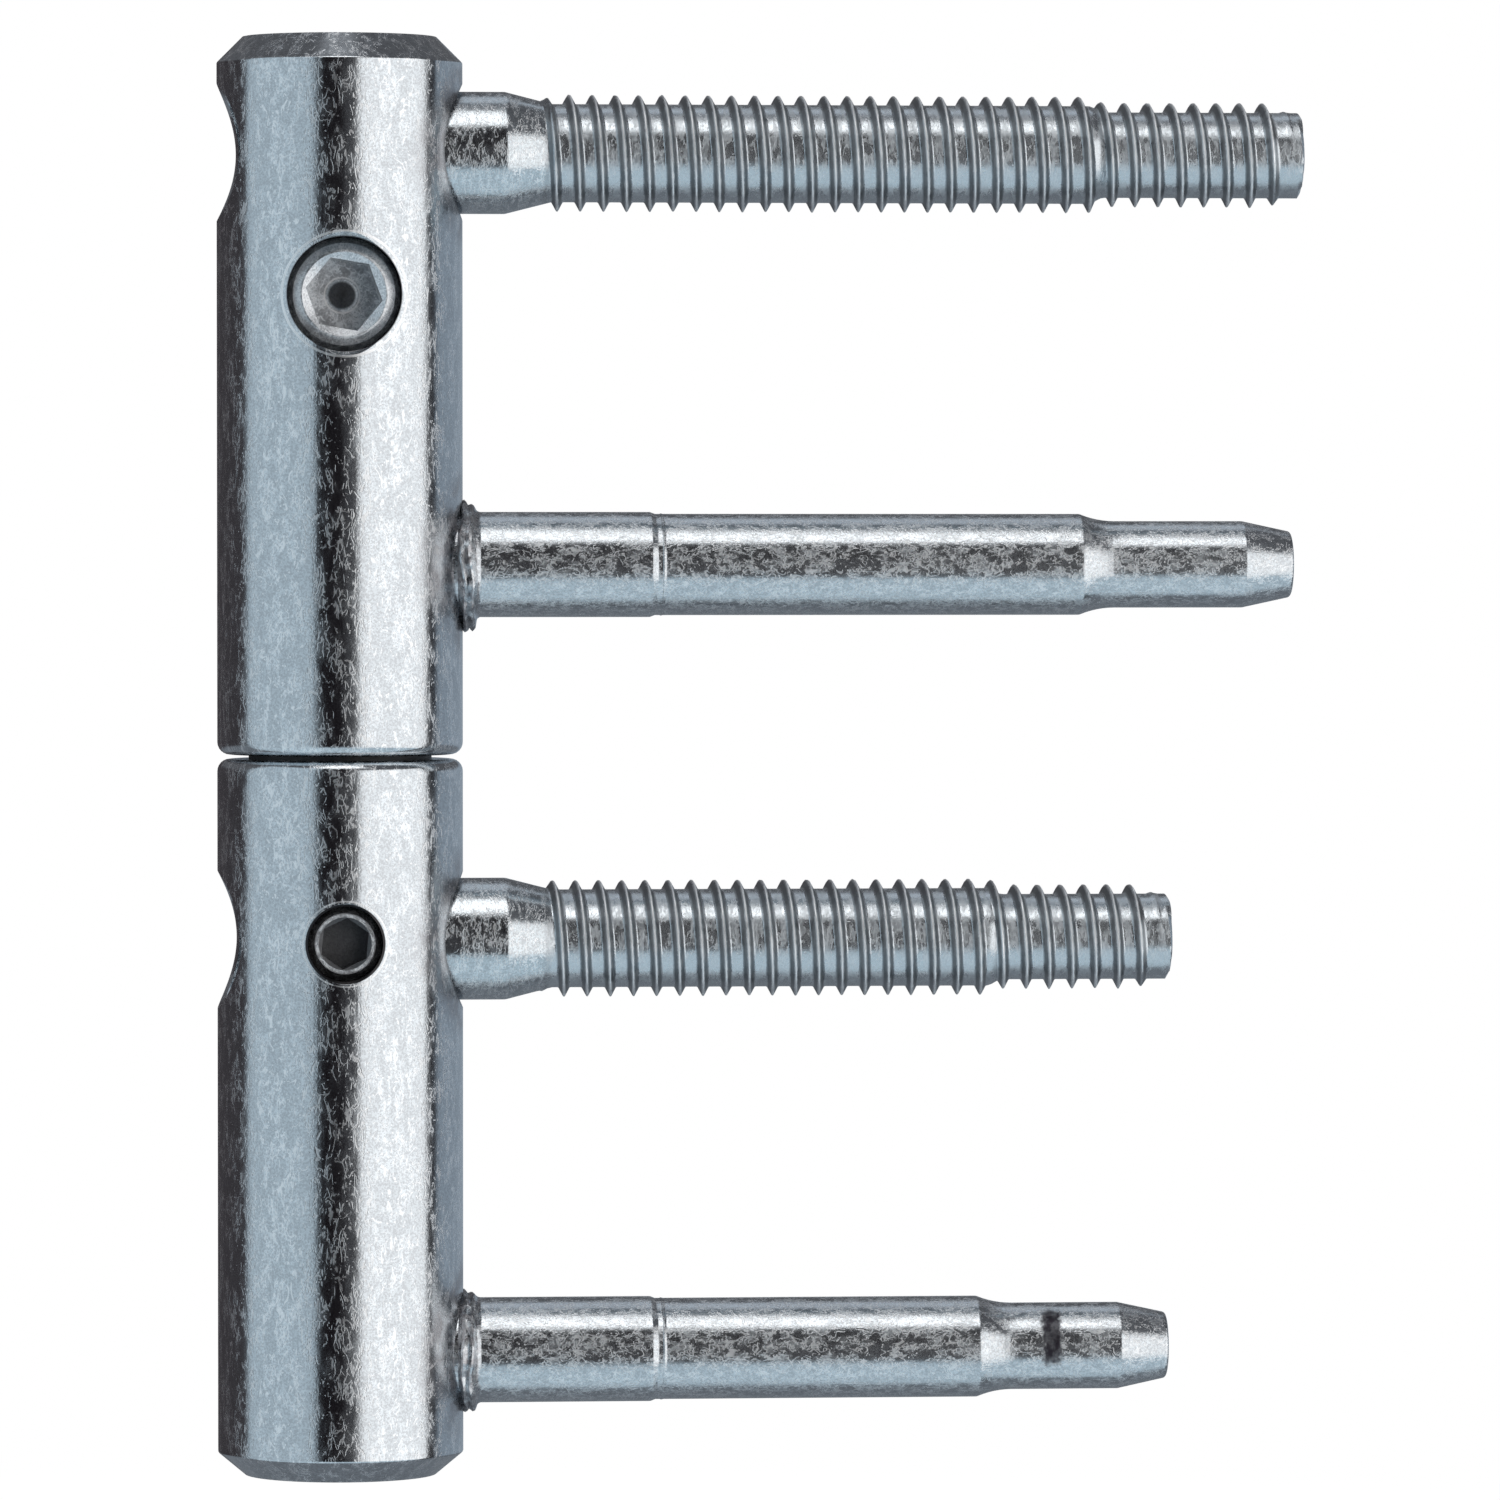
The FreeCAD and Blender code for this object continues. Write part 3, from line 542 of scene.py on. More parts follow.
def thread_profile(pitch, ridge, crest_share=0.09):
    """One pitch of a ridged thread: places along it, and shares of the ridge's height."""
    mid = pitch / 2
    foot = ridge / 2
    crest = pitch * crest_share / 2
    return [
        (0.0, 0.0),
        (mid - foot * 1.25, 0.0),
        (mid - foot * 1.10, 0.0),
        (mid - foot * 0.94, 0.06),
        (mid - crest * 1.2, 0.90),
        (mid - crest * 0.5, 0.99),
        (mid + crest * 0.5, 0.99),
        (mid + crest * 1.2, 0.90),
        (mid + foot * 0.94, 0.06),
        (mid + foot * 1.10, 0.0),
        (mid + foot * 1.25, 0.0),
        (pitch, 0.0),
    ]


def cone_radius(sizes, place):
    """Radius of a stud's neck cone at a distance from the turning axis."""
    share = (place - sizes.collar_end) / sizes.neck_length
    return (sizes.collar + (sizes.root - sizes.collar) * share) / 2


def make_thread(name, sizes, start, step, end, first_crest):
    """The threaded stretch of a stud round Z as a closed mesh, its ridges shaped by their place."""
    pitch = sizes.pitch
    root, crest = sizes.root / 2, sizes.crest / 2
    profile = thread_profile(pitch, sizes.ridge)
    lead = 2.5 + math.ceil((first_crest - start) / pitch)
    first = first_crest - lead * pitch
    turns = math.ceil((end - first) / pitch) + 1
    deselect_everything()
    bpy.ops.mesh.primitive_plane_add(size=pitch, location=(0, 0, 0))
    piece = bpy.context.object
    piece.name = name
    piece.data.name = name
    edit(piece)
    bpy.ops.mesh.select_all(action="SELECT")
    bpy.ops.mesh.merge(type="CENTER")
    bpy.ops.mesh.select_mode(type="VERT")
    bpy.ops.mesh.select_all(action="SELECT")
    bpy.ops.transform.translate(value=(root, 0, first))
    for (low, share), (high, next_share) in zip(profile, profile[1:]):
        out = (next_share - share) * (crest - root)
        bpy.ops.mesh.extrude_vertices_move(TRANSFORM_OT_translate={"value": (out, 0, high - low)})
    bpy.ops.object.mode_set(mode="OBJECT")
    bpy.ops.object.modifier_add(type="SCREW")
    screw = piece.modifiers[-1]
    screw.axis = "Z"
    screw.steps = sizes.sides
    screw.render_steps = sizes.sides
    screw.screw_offset = pitch
    screw.iterations = turns
    bpy.ops.object.modifier_apply(modifier=screw.name)
    edit(piece)
    bpy.ops.mesh.select_all(action="SELECT")
    bpy.ops.mesh.remove_doubles(threshold=0.0005 * MM)
    bpy.ops.object.mode_set(mode="OBJECT")
    end_root, end_crest = sizes.end_root / 2, sizes.end_crest / 2
    tip = sizes.tip_round
    risen, faded, fading = start + 1.5 * MM, 0.9 * MM, 3.2 * MM
    for vertex in piece.data.vertices:
        place = vertex.co.z
        spoke = math.hypot(vertex.co.x, vertex.co.y)
        share = (spoke - root) / (crest - root)
        down = ramp(place, step, step + sizes.step_length)
        inner = max(root + (end_root - root) * down, cone_radius(sizes, place))
        outer = crest + (end_crest - crest) * down
        from_end = end - place
        rise = ramp(place, start + 0.1 * MM, risen) * ramp(from_end, faded, fading)
        rough = noise.noise(vertex.co * 1400) * 0.06 * MM * share
        new_spoke = inner + (outer - inner) * share * rise + rough * rise
        if from_end < tip:
            lift = max(tip - max(from_end, 0.0), 0.0)
            limit = end_crest - tip + math.sqrt(max(tip * tip - lift * lift, 0.0))
            new_spoke = min(new_spoke, max(limit, end_crest - tip))
        scale = new_spoke / spoke
        vertex.co.x *= scale
        vertex.co.y *= scale
    edit(piece)
    for plane, side in ((start, "clear_inner"), (end - 0.02 * MM, "clear_outer")):
        bpy.ops.mesh.select_all(action="SELECT")
        bpy.ops.mesh.bisect(
            plane_co=(0, 0, plane), plane_no=(0, 0, 1), use_fill=True, threshold=0.0001 * MM, **{side: True}
        )
    return piece


def make_stud(name, node, sizes, step, first_crest):
    """A stud: its thread first, then neck, collar, groove and head drawn out of the thread's cut end."""
    low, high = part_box(node)
    start = sizes.collar_end + sizes.neck_length - sizes.run_out
    piece = make_thread(name, sizes, start, step, high.x, first_crest)
    select_faces(
        piece, lambda face: abs(face.calc_center_median().z - start) < 0.1 * MM and len(face.verts) > 20
    )
    collar = sizes.collar / 2
    groove = sizes.groove / 2
    half = sizes.groove_width / 2
    chamfer = sizes.head_chamfer
    extrude_rings(rounded([
        (start, cone_radius(sizes, start)),
        (sizes.collar_end, collar),
        (half, collar),
        (half, groove),
        (-half, groove),
        (-half, collar),
        (low.x + chamfer, collar),
        (low.x, collar - chamfer),
    ], {1: sizes.collar_round}, 6))
    recalculate_normals()
    mouth = sizes.socket * 1.2
    for cutter in hexagon_cutter(sizes.socket, sizes.socket_depth, 0.0, mouth, sizes.sides):
        cut(piece, lay(cutter, UPRIGHT, (0, 0, low.x)))
    lay(piece, STUD_TURN, (0, 0, middle(node).z))
    tidy(piece, 35)
    return piece


def make_screw(name, profile, socket, depth, turn, mouth, sides):
    """A set screw down from its face at z = 0, with a countersunk hexagon socket."""
    screw = turned(name, profile, sides)
    cut(screw, *hexagon_cutter(socket, depth, turn, mouth, sides))
    return screw


def make_height_screw(sizes):
    """The set screw with a cone point that lifts the upper half."""
    low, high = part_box("height_screw")
    radius = sizes.height_diameter / 2
    length = high.y - low.y
    tip = sizes.height_tip / 2
    profile = rounded([
        (0.0, sizes.height_face / 2),
        (sizes.height_slope, sizes.height_ring / 2),
        (sizes.height_start, radius),
        (length - (radius - tip), radius),
        (length, tip),
    ], {1: 0.12 * MM}, 3)
    screw = make_screw(
        "height_screw_cut", profile, sizes.height_socket, sizes.height_socket_depth,
        sizes.height_turn, sizes.height_socket_mouth, sizes.sides,
    )
    dimple = sizes.height_dimple / 2
    floor = sizes.height_socket_depth
    point = floor + dimple / math.tan(math.radians(59))
    drill = turned("drill", [(floor - 0.3 * MM, dimple), (floor, dimple), (point, 0.02 * MM)], sizes.sides)
    cut(screw, drill)
    lay(screw, INTO_FRONT, (0, low.y, middle("height_screw").z))
    tidy(screw)
    return screw


def make_lock_screw(sizes, name, diameter, bevel, dog, length, socket, facing, place):
    """A lock screw with a dog point, laid with its face at the place and facing the way given."""
    radius = diameter / 2
    shoulder = length - sizes.dog_length
    profile = [
        (0.0, radius - bevel),
        (0.2 * bevel, radius - 0.8 * bevel),
        (1.4 * bevel, radius),
        (shoulder, radius),
        (shoulder, dog / 2),
        (length, dog / 2),
    ]
    screw = make_screw(name, profile, *socket, sizes.sides)
    lay(screw, facing, place)
    tidy(screw)
    return screw


def make_lower_lock(sizes):
    """The set screw in the front of the lower barrel."""
    low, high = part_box("lower_lock_screw")
    socket = (sizes.lower_socket, sizes.lower_socket_depth, sizes.lower_turn, sizes.lower_socket_mouth)
    return make_lock_screw(
        sizes, "lower_lock_cut", sizes.lower_diameter, sizes.lower_bevel, sizes.lower_dog, high.y - low.y,
        socket, INTO_FRONT, (0, low.y, middle("lower_lock_screw").z),
    )


def make_upper_lock(sizes):
    """The set screw in the top face of the upper barrel."""
    low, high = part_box("upper_lock_screw")
    socket = (sizes.upper_socket, sizes.upper_socket_depth, 0.0, sizes.upper_socket_mouth)
    return make_lock_screw(
        sizes, "upper_lock_cut", sizes.upper_diameter, sizes.upper_bevel, sizes.upper_dog, high.z - low.z,
        socket, DOWNWARDS, (0, 0, high.z),
    )


class Finish:
    """A material's node tree, with short ways to add nodes and links."""

    def __init__(self, name):
        self.material = bpy.data.materials.new(name)
        self.material.use_nodes = True
        self.nodes = self.material.node_tree.nodes
        self.links = self.material.node_tree.links
        self.shader = self.nodes["Principled BSDF"]
        self.place = self.add("TexCoord").outputs["Object"]

    def add(self, kind, settings=None, inputs=None):
        """Adds a node with its settings and with numbers or links on its inputs."""
        node = self.nodes.new("ShaderNode" + kind)
        for key, value in (settings or {}).items():
            setattr(node, key, value)
        for key, value in (inputs or {}).items():
            if isinstance(value, bpy.types.NodeSocket):
                self.links.new(value, node.inputs[key])
            else:
                node.inputs[key].default_value = value
        return node

    def maths(self, operation, first, second=0.0, third=0.0):
        """One step of arithmetic."""
        return self.add("Math", {"operation": operation}, {0: first, 1: second, 2: third}).outputs[0]

    def times(self, *values):
        """The product of the values."""
        product = values[0]
        for value in values[1:]:
            product = self.maths("MULTIPLY", product, value)
        return product

    def axis(self, letter, place=None):
        """One coordinate of the place."""
        return self.add("SeparateXYZ", {}, {0: place or self.place}).outputs[letter]

    def clouds(self, scale, detail=2.0, place=None, distortion=0.0):
        """Soft noise with this many cells to the metre."""
        return self.add("TexNoise", {}, {
            "Vector": place or self.place, "Scale": scale, "Detail": detail, "Distortion": distortion,
        }).outputs["Fac"]

    def between(self, value, low, high, start=0.0, end=1.0):
        """The value spread from low..high to start..end, smooth and clamped."""
        return self.add("MapRange", {"interpolation_type": "SMOOTHSTEP"}, {
            "Value": value, "From Min": low, "From Max": high, "To Min": start, "To Max": end,
        }).outputs["Result"]

    def warped(self, scale, amount):
        """The place, pushed about by noise."""
        push = self.add("TexNoise", {}, {"Vector": self.place, "Scale": scale, "Detail": 2.0})
        centred = self.add("VectorMath", {"operation": "SUBTRACT"}, {
            0: push.outputs["Color"], 1: (0.5, 0.5, 0.5),
        }).outputs[0]
        moved = self.add("VectorMath", {"operation": "SCALE"}, {0: centred, "Scale": amount})
        return self.add("VectorMath", {"operation": "ADD"}, {
            0: self.place, 1: moved.outputs[0],
        }).outputs[0]

    def contour(self, value, width):
        """A thin line where soft noise passes its middle."""
        away = self.maths("ABSOLUTE", self.maths("SUBTRACT", value, 0.5))
        return self.between(away, 0.0, width, 1.0, 0.0)

    def dots(self, scale, radius):
        """Small round dots, this many cells to the metre."""
        away = self.add("TexVoronoi", {}, {"Vector": self.place, "Scale": scale}).outputs["Distance"]
        return self.between(away, radius, radius * 2, 1.0, 0.0)

    def mixed(self, share, first, second):
        """A colour between two colours."""
        node = self.add("Mix", {"data_type": "RGBA"})
        for socket, value in zip((node.inputs[0], node.inputs[6], node.inputs[7]), (share, first, second)):
            if isinstance(value, bpy.types.NodeSocket):
                self.links.new(value, socket)
            elif isinstance(value, (float, int)):
                socket.default_value = value
            else:
                socket.default_value = (*value, 1.0)
        return node.outputs[2]

    def bump(self, height, distance):
        """A bump of this height in metres."""
        inputs = {"Height": height, "Distance": distance, "Strength": 1.0}
        return self.add("Bump", {}, inputs).outputs["Normal"]

    def plug(self, socket, value):
        """Links or sets one input of the shader."""
        if isinstance(value, bpy.types.NodeSocket):
            self.links.new(value, self.shader.inputs[socket])
        else:
            self.shader.inputs[socket].default_value = value


def zinc_finish(name, colour, dull, stretch, smooth=0.13, marks=1.0, shade=None):
    """Tumbled zinc: fine grain, worm-like scratches, small pits and paler blotches.

    stretch draws the marks out along the piece, marks sets how many there are, and shade gives more layers.
    """
    finish = Finish(name)
    drawn = finish.add("VectorMath", {"operation": "MULTIPLY"}, {0: finish.place, 1: stretch}).outputs[0]
    blotch = finish.clouds(900.0, 3.0, place=drawn, distortion=0.5)
    patch = finish.clouds(1300.0, 2.0)
    grain = finish.clouds(5200.0, 1.0)
    swell = finish.clouds(380.0, 0.0)
    course = finish.clouds(800.0, 1.0, place=drawn, distortion=1.2)
    fine_course = finish.clouds(2000.0, 1.0, place=drawn, distortion=0.8)
    limit = 0.56 - 0.06 * marks
    worms = finish.times(
        finish.contour(course, 0.036), finish.between(patch, limit, limit + 0.06)
    )
    fine_worms = finish.times(
        finish.contour(fine_course, 0.06), finish.between(blotch, limit - 0.02, limit + 0.06)
    )
    pits = finish.times(
        finish.dots(2600.0, 0.14), finish.between(patch, limit - 0.04, limit + 0.04)
    )
    scars = finish.maths("MAXIMUM", finish.maths("MAXIMUM", worms, fine_worms), pits)
    height = finish.times(swell, 0.010)
    for part, depth in ((blotch, 0.0035), (patch, 0.0032), (grain, 0.0048), (scars, -0.0050)):
        height = finish.maths("MULTIPLY_ADD", part, depth, height)
    normal = finish.bump(height, MM)
    paler = tuple(min(tone * 1.16, 1.0) for tone in colour)
    base = finish.mixed(finish.between(blotch, 0.44, 0.56), colour, paler)
    base = finish.mixed(finish.between(grain, 0.36, 0.64, 0.0, 0.62), base, dull)
    base = finish.mixed(finish.times(scars, 0.85), base, (0.98, 0.99, 1.0))
    roughness = finish.between(blotch, 0.35, 0.65, smooth, smooth + 0.09)
    roughness = finish.maths("MULTIPLY_ADD", scars, 0.16, roughness)
    for mark, tone, dulling in shade(finish) if shade else ():
        base = finish.mixed(mark, base, tone)
        roughness = finish.maths("MULTIPLY_ADD", mark, dulling, roughness)
    finish.plug("Base Color", base)
    finish.plug("Roughness", roughness)
    finish.plug("Normal", normal)
    finish.plug("Metallic", 1.0)
    return finish.material


def ground_finish(name, colour, roughness, rings=True):
    """Ground or polished steel with fine rings round the turning axis."""
    finish = Finish(name)
    rows = finish.add("CombineXYZ", {}, {"Z": finish.axis("Z")}).outputs[0]
    lines = finish.clouds(9000.0, 2.0, place=rows)
    grain = finish.clouds(3000.0, 2.0)
    normal = finish.bump(lines, 0.0012 * MM if rings else 0.0001 * MM)
    darker = tuple(tone * 0.8 for tone in colour)
    finish.plug("Base Color", finish.mixed(finish.between(grain, 0.4, 0.7), colour, darker))
    finish.plug("Roughness", finish.between(grain, 0.3, 0.7, roughness, roughness + 0.1))
    finish.plug("Normal", normal)
    finish.plug("Metallic", 1.0)
    return finish.material


def plastic_finish(name, colour):
    """Moulded bearing plastic with a faint grain."""
    finish = Finish(name)
    grain = finish.clouds(5000.0, 2.0)
    paler = tuple(tone * 1.5 for tone in colour)
    finish.plug("Base Color", finish.mixed(finish.between(grain, 0.3, 0.7), colour, paler))
    finish.plug("Roughness", finish.between(grain, 0.3, 0.7, 0.42, 0.55))
    finish.plug("Normal", finish.bump(grain, 0.003 * MM))
    return finish.material


def off_axis(finish, centre, across):
    """Distance from the axis through the centre, measured across that axis."""
    away = finish.add("VectorMath", {"operation": "SUBTRACT"}, {0: finish.place, 1: centre}).outputs[0]
    flat = finish.add("VectorMath", {"operation": "MULTIPLY"}, {0: away, 1: across}).outputs[0]
    return finish.add("VectorMath", {"operation": "LENGTH"}, {0: flat}).outputs["Value"]


def in_hole(finish, centre, radius):
    """1 within a front hole's radius and 0 on the outside of the barrel."""
    inside = finish.between(
        off_axis(finish, centre, (1, 0, 1)), radius + 0.02 * MM, radius + 0.10 * MM, 1.0, 0.0
    )
    front = finish.between(finish.axis("Y"), -1.0 * MM, 0.0, 1.0, 0.0)
    return finish.times(inside, front)


def on_ring(finish, centre, radius, width):
    """1 on a thin ring in the front of the hinge."""
    return finish.maths(
        "SUBTRACT", in_hole(finish, centre, radius + width / 2), in_hole(finish, centre, radius - width / 2)
    )


def barrel_layers(finish):
    """Painted shade in the tapped holes and in the bevels of the stud holes, heat marks round the welds, and
    painted highlights on the rims of the countersinks.
    """
    sizes = bpy.context.scene.hinge_barrels
    screw, lock = middle("height_screw"), middle("lower_lock_screw")
    # Painted shade: the walls of both tapped holes in the front are coloured nearly black.
    upper = finish.times(in_hole(finish, screw, sizes.height_hole / 2), 0.68)
    lower = in_hole(finish, lock, sizes.lower_lock_hole / 2 + 0.15 * MM)
    # Painted highlights: thin white rings on the outer rims of both countersinks.
    painted_highlight = finish.maths(
        "MAXIMUM",
        on_ring(finish, screw, sizes.height_mouth / 2, 0.22 * MM),
        on_ring(finish, lock, sizes.lower_lock_mouth / 2 + 0.1 * MM, 0.14 * MM),
    )
    layers = [
        (finish.maths("MAXIMUM", upper, lower), (0.05, 0.048, 0.05), 0.20),
        (finish.times(painted_highlight, 0.8), (1.0, 1.0, 1.0), 0.25),
    ]
    right = finish.between(finish.axis("X"), 3.0 * MM, 5.0 * MM)
    patchy = finish.between(finish.clouds(500.0), 0.35, 0.65, 0.3, 1.0)
    edge = sizes.cross_hole / 2 + sizes.cross_hole_chamfer
    for node in ("lower_shank", "upper_shank", "lower_stud", "upper_stud"):
        away = off_axis(finish, middle(node), (0, 1, 1))
        mark = finish.times(right, finish.between(away, 7.2 * MM, 9.8 * MM, 0.75, 0.0))
        layers.append((finish.times(mark, patchy), (0.33, 0.31, 0.32), 0.10))
        if "stud" in node:
            # Painted shade: the bevel of each stud's hole is darkened on the right half.
            lip = finish.between(away, edge, edge + 0.4 * MM, 0.8, 0.0)
            layers.append((finish.times(right, lip), (0.15, 0.155, 0.165), 0.0))
    return layers


def shank_layers(finish):
    """The darker weld bead."""
    patchy = finish.between(finish.clouds(1500.0), 0.35, 0.65, 0.0, 0.65)
    inner = finish.between(finish.axis("X"), 11.7 * MM, 12.7 * MM, 1.0, 0.0)
    return [(finish.times(inner, patchy), (0.31, 0.29, 0.30), 0.10)]


def marked_shank_layers(finish):
    """The darker weld bead, and a short stroke of dark ink across the end stretch."""
    sizes = bpy.context.scene.hinge_shanks
    pushed = finish.warped(1800.0, 0.0010)
    along = finish.maths("ABSOLUTE", finish.maths("SUBTRACT", finish.axis("X", pushed), sizes.ink_place))
    high = finish.maths("ABSOLUTE", finish.maths("SUBTRACT", finish.axis("Z", pushed), sizes.ink_height))
    in_width = finish.between(along, 0.60 * MM, 1.05 * MM, 1.0, 0.0)
    in_height = finish.between(high, 1.9 * MM, 2.7 * MM, 1.0, 0.0)
    in_front = finish.between(finish.axis("Y", pushed), -0.5 * MM, 0.0, 1.0, 0.0)
    patchy = finish.between(finish.clouds(1500.0), 0.3, 0.7, 0.82, 1.0)
    ink = finish.times(in_width, in_height, in_front, patchy)
    return shank_layers(finish) + [(ink, tuple(bpy.context.scene.hinge_finish.ink), 0.25)]


def painted_thread_shading(sizes, centre, step):
    """A shade that dulls a stud's thread, paints shade on its flanks and paints highlights on its crests."""
    def shade(finish):
        spoke = off_axis(finish, centre, (0, 1, 1))
        place = finish.axis("X")
        drop = (sizes.root - sizes.end_root) / 2
        level = finish.maths("ADD", spoke, finish.between(place, step, step + sizes.step_length, 0.0, drop))
        root, crest = sizes.root / 2, sizes.crest / 2
        foot = finish.between(level, root + 0.04 * MM, root + 0.24 * MM)
        top = finish.between(level, crest - 0.24 * MM, crest - 0.14 * MM, 1.0, 0.0)
        start = sizes.collar_end + sizes.neck_length - sizes.run_out
        threaded = finish.between(place, start + 0.3 * MM, start + 1.2 * MM, 0.0, 0.62)
        # Painted shade on the thread's flanks between its crests and roots.
        flank_shade = finish.times(foot, top, threaded)
        # Painted highlight along the thread's crests.
        painted_highlight = finish.between(level, crest - 0.13 * MM, crest - 0.03 * MM)
        return [
            (threaded, (0.66, 0.70, 0.73), 0.12),
            (flank_shade, (0.13, 0.13, 0.14), 0.12),
            (finish.times(threaded, 1.35, painted_highlight), (1.0, 1.0, 1.0), 0.25),
        ]
    return shade


def screw_layers(finish):
    """Painted shade in the small screw's socket and in the large screw's dimple, a painted shade line round
    the small screw's face, and a painted highlight round the dimple's rim.
    """
    sizes = bpy.context.scene.hinge_screws
    masks = []
    for node, radius, depth in (
        ("lower_lock_screw", sizes.lower_socket_mouth / 2 - 0.05 * MM, -0.2 * MM),
        ("height_screw", sizes.height_dimple / 2, sizes.height_socket_depth),
    ):
        inside = in_hole(finish, middle(node), radius)
        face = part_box(node)[0].y + depth
        masks.append(finish.times(inside, finish.between(finish.axis("Y"), face, face + 0.2 * MM)))
    # Painted shade: the small screw's socket and the large screw's dimple are coloured nearly black.
    dark = finish.times(finish.maths("MAXIMUM", *masks), 0.85)
    lock, screw = middle("lower_lock_screw"), middle("height_screw")
    # Painted shade: a dark grey line round the edge of the small screw's face.
    ring = on_ring(finish, lock, sizes.lower_diameter / 2 - sizes.lower_bevel - 0.07 * MM, 0.16 * MM)
    # Painted highlight: a white ring round the rim of the large screw's dimple.
    lip = on_ring(finish, screw, sizes.height_dimple / 2 + 0.12 * MM, 0.14 * MM)
    return [
        (finish.times(ring, 0.8), (0.30, 0.30, 0.31), 0.10),
        (dark, (0.035, 0.032, 0.035), 0.20),
        (finish.times(lip, 0.8), (1.0, 1.0, 1.0), 0.10),
    ]


# How closely the marks lie along each axis
UPRIGHT_MARKS = (1.0, 1.0, 0.4)
LEVEL_MARKS = (0.9, 1.35, 1.35)
RING_MARKS = (1.8, 0.7, 0.7)
EVEN_MARKS = (1.0, 1.0, 1.0)


class HINGE_OT_barrels(bpy.types.Operator):
    """Makes both barrels with their holes and gives them their zinc"""

    bl_idname = "hinge.barrels"
    bl_label = "Barrels"

    def execute(self, context):
        sizes = context.scene.hinge_barrels
        colours = context.scene.hinge_finish
        zinc = zinc_finish("zinc", colours.zinc, colours.zinc_dull, UPRIGHT_MARKS, shade=barrel_layers)
        finish_piece(make_lower_barrel(sizes), "lower_barrel", "lower", zinc)
        finish_piece(make_upper_barrel(sizes), "upper_barrel", "upper", zinc)
        return {"FINISHED"}


class HINGE_OT_shanks(bpy.types.Operator):
    """Makes both shanks with their weld beads"""

    bl_idname = "hinge.shanks"
    bl_label = "Shanks"

    def execute(self, context):
        sizes = context.scene.hinge_shanks
        radius = context.scene.hinge_barrels.diameter / 2
        colours = context.scene.hinge_finish
        tones = (colours.zinc, colours.zinc_dull, LEVEL_MARKS)
        plain = zinc_finish("shank_zinc", *tones, smooth=0.19, marks=1.8, shade=shank_layers)
        marked = zinc_finish("marked_zinc", *tones, smooth=0.19, marks=1.8, shade=marked_shank_layers)
        lower = make_shank(
            "lower_shank_turned", "lower_shank", sizes, radius, sizes.lower_shoulder, sizes.lower_bead, 3.0
        )
        upper = make_shank(
            "upper_shank_turned", "upper_shank", sizes, radius, sizes.upper_shoulder, sizes.upper_bead, 7.0
        )
        finish_piece(lower, "lower_shank", "lower", marked)
        finish_piece(upper, "upper_shank", "upper", plain)
        return {"FINISHED"}


class HINGE_OT_studs(bpy.types.Operator):
    """Makes both studs with their rolled threads"""

    bl_idname = "hinge.studs"
    bl_label = "Studs"

    def execute(self, context):
        sizes = context.scene.hinge_studs
        colours = context.scene.hinge_finish
        finishes = []
        for name, node, step in (
            ("lower_stud_zinc", "lower_stud", sizes.lower_step),
            ("upper_stud_zinc", "upper_stud", sizes.upper_step),
        ):
            finishes.append(zinc_finish(
                name, colours.stud, colours.zinc_dull, RING_MARKS, smooth=0.16, marks=1.5,
                shade=painted_thread_shading(sizes, middle(node), step),
            ))
        lower = make_stud("lower_stud_threaded", "lower_stud", sizes, sizes.lower_step, sizes.lower_crest)
        upper = make_stud("upper_stud_threaded", "upper_stud", sizes, sizes.upper_step, sizes.upper_crest)
        finish_piece(lower, "lower_stud", "lower_stud_body", finishes[0])
        finish_piece(upper, "upper_stud", "upper_stud_body", finishes[1])
        return {"FINISHED"}


class HINGE_OT_screws(bpy.types.Operator):
    """Makes the three set screws with their countersunk sockets"""

    bl_idname = "hinge.screws"
    bl_label = "Set screws"

    def execute(self, context):
        sizes = context.scene.hinge_screws
        colours = context.scene.hinge_finish
        zinc = zinc_finish(
            "screw_zinc", colours.screw, colours.zinc_dull, EVEN_MARKS,
            smooth=0.34, marks=2.0, shade=screw_layers,
        )
        finish_piece(make_height_screw(sizes), "height_screw", "height_adjuster", zinc)
        finish_piece(make_lower_lock(sizes), "lower_lock_screw", "lower_lock", zinc)
        finish_piece(make_upper_lock(sizes), "upper_lock_screw", "upper_lock", zinc)
        return {"FINISHED"}


class HINGE_OT_inner_pieces(bpy.types.Operator):
    """Gives the pin, the ball, the thrust piece and the bush their finishes"""

    bl_idname = "hinge.inner_pieces"
    bl_label = "Inner pieces"

    def execute(self, context):
        colours = context.scene.hinge_finish
        ground = ground_finish("ground_steel", tuple(colours.pin), 0.22)
        polished = ground_finish("polished_steel", tuple(colours.ball), 0.06, rings=False)
        plastic = plastic_finish("bearing_plastic", tuple(colours.bush))
        for node, material in (
            ("hinge_pin", ground),
            ("thrust_piece", ground),
            ("bearing_ball", polished),
            ("bearing_bush", plastic),
        ):
            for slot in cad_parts[node].material_slots:
                slot.material = material
        return {"FINISHED"}


class Sky(Finish):
    """The world's node tree."""

    def __init__(self):
        world = bpy.data.worlds.new("studio")
        bpy.context.scene.world = world
        world.use_nodes = True
        self.nodes = world.node_tree.nodes
        self.links = world.node_tree.links
        self.nodes.clear()
        direction = self.add("TexCoord").outputs["Generated"]
        front = self.times(self.axis("Y", direction), -1.0)
        around = self.maths("ARCTAN2", self.axis("X", direction), front)
        self.azimuth = self.times(around, math.degrees(1))
        level = self.maths("MINIMUM", self.maths("MAXIMUM", self.axis("Z", direction), -1.0), 1.0)
        self.height = self.times(self.maths("ARCSINE", level), math.degrees(1))

    def window(self, left, right, bottom, top):
        """1 inside a window of the sky, in degrees, and 0 outside."""
        soft = 3.0
        return self.times(
            self.between(self.azimuth, left - soft, left + soft),
            self.between(self.azimuth, right + soft, right - soft),
            self.between(self.height, bottom - soft, bottom + soft),
            self.between(self.height, top + soft, top - soft),
        )


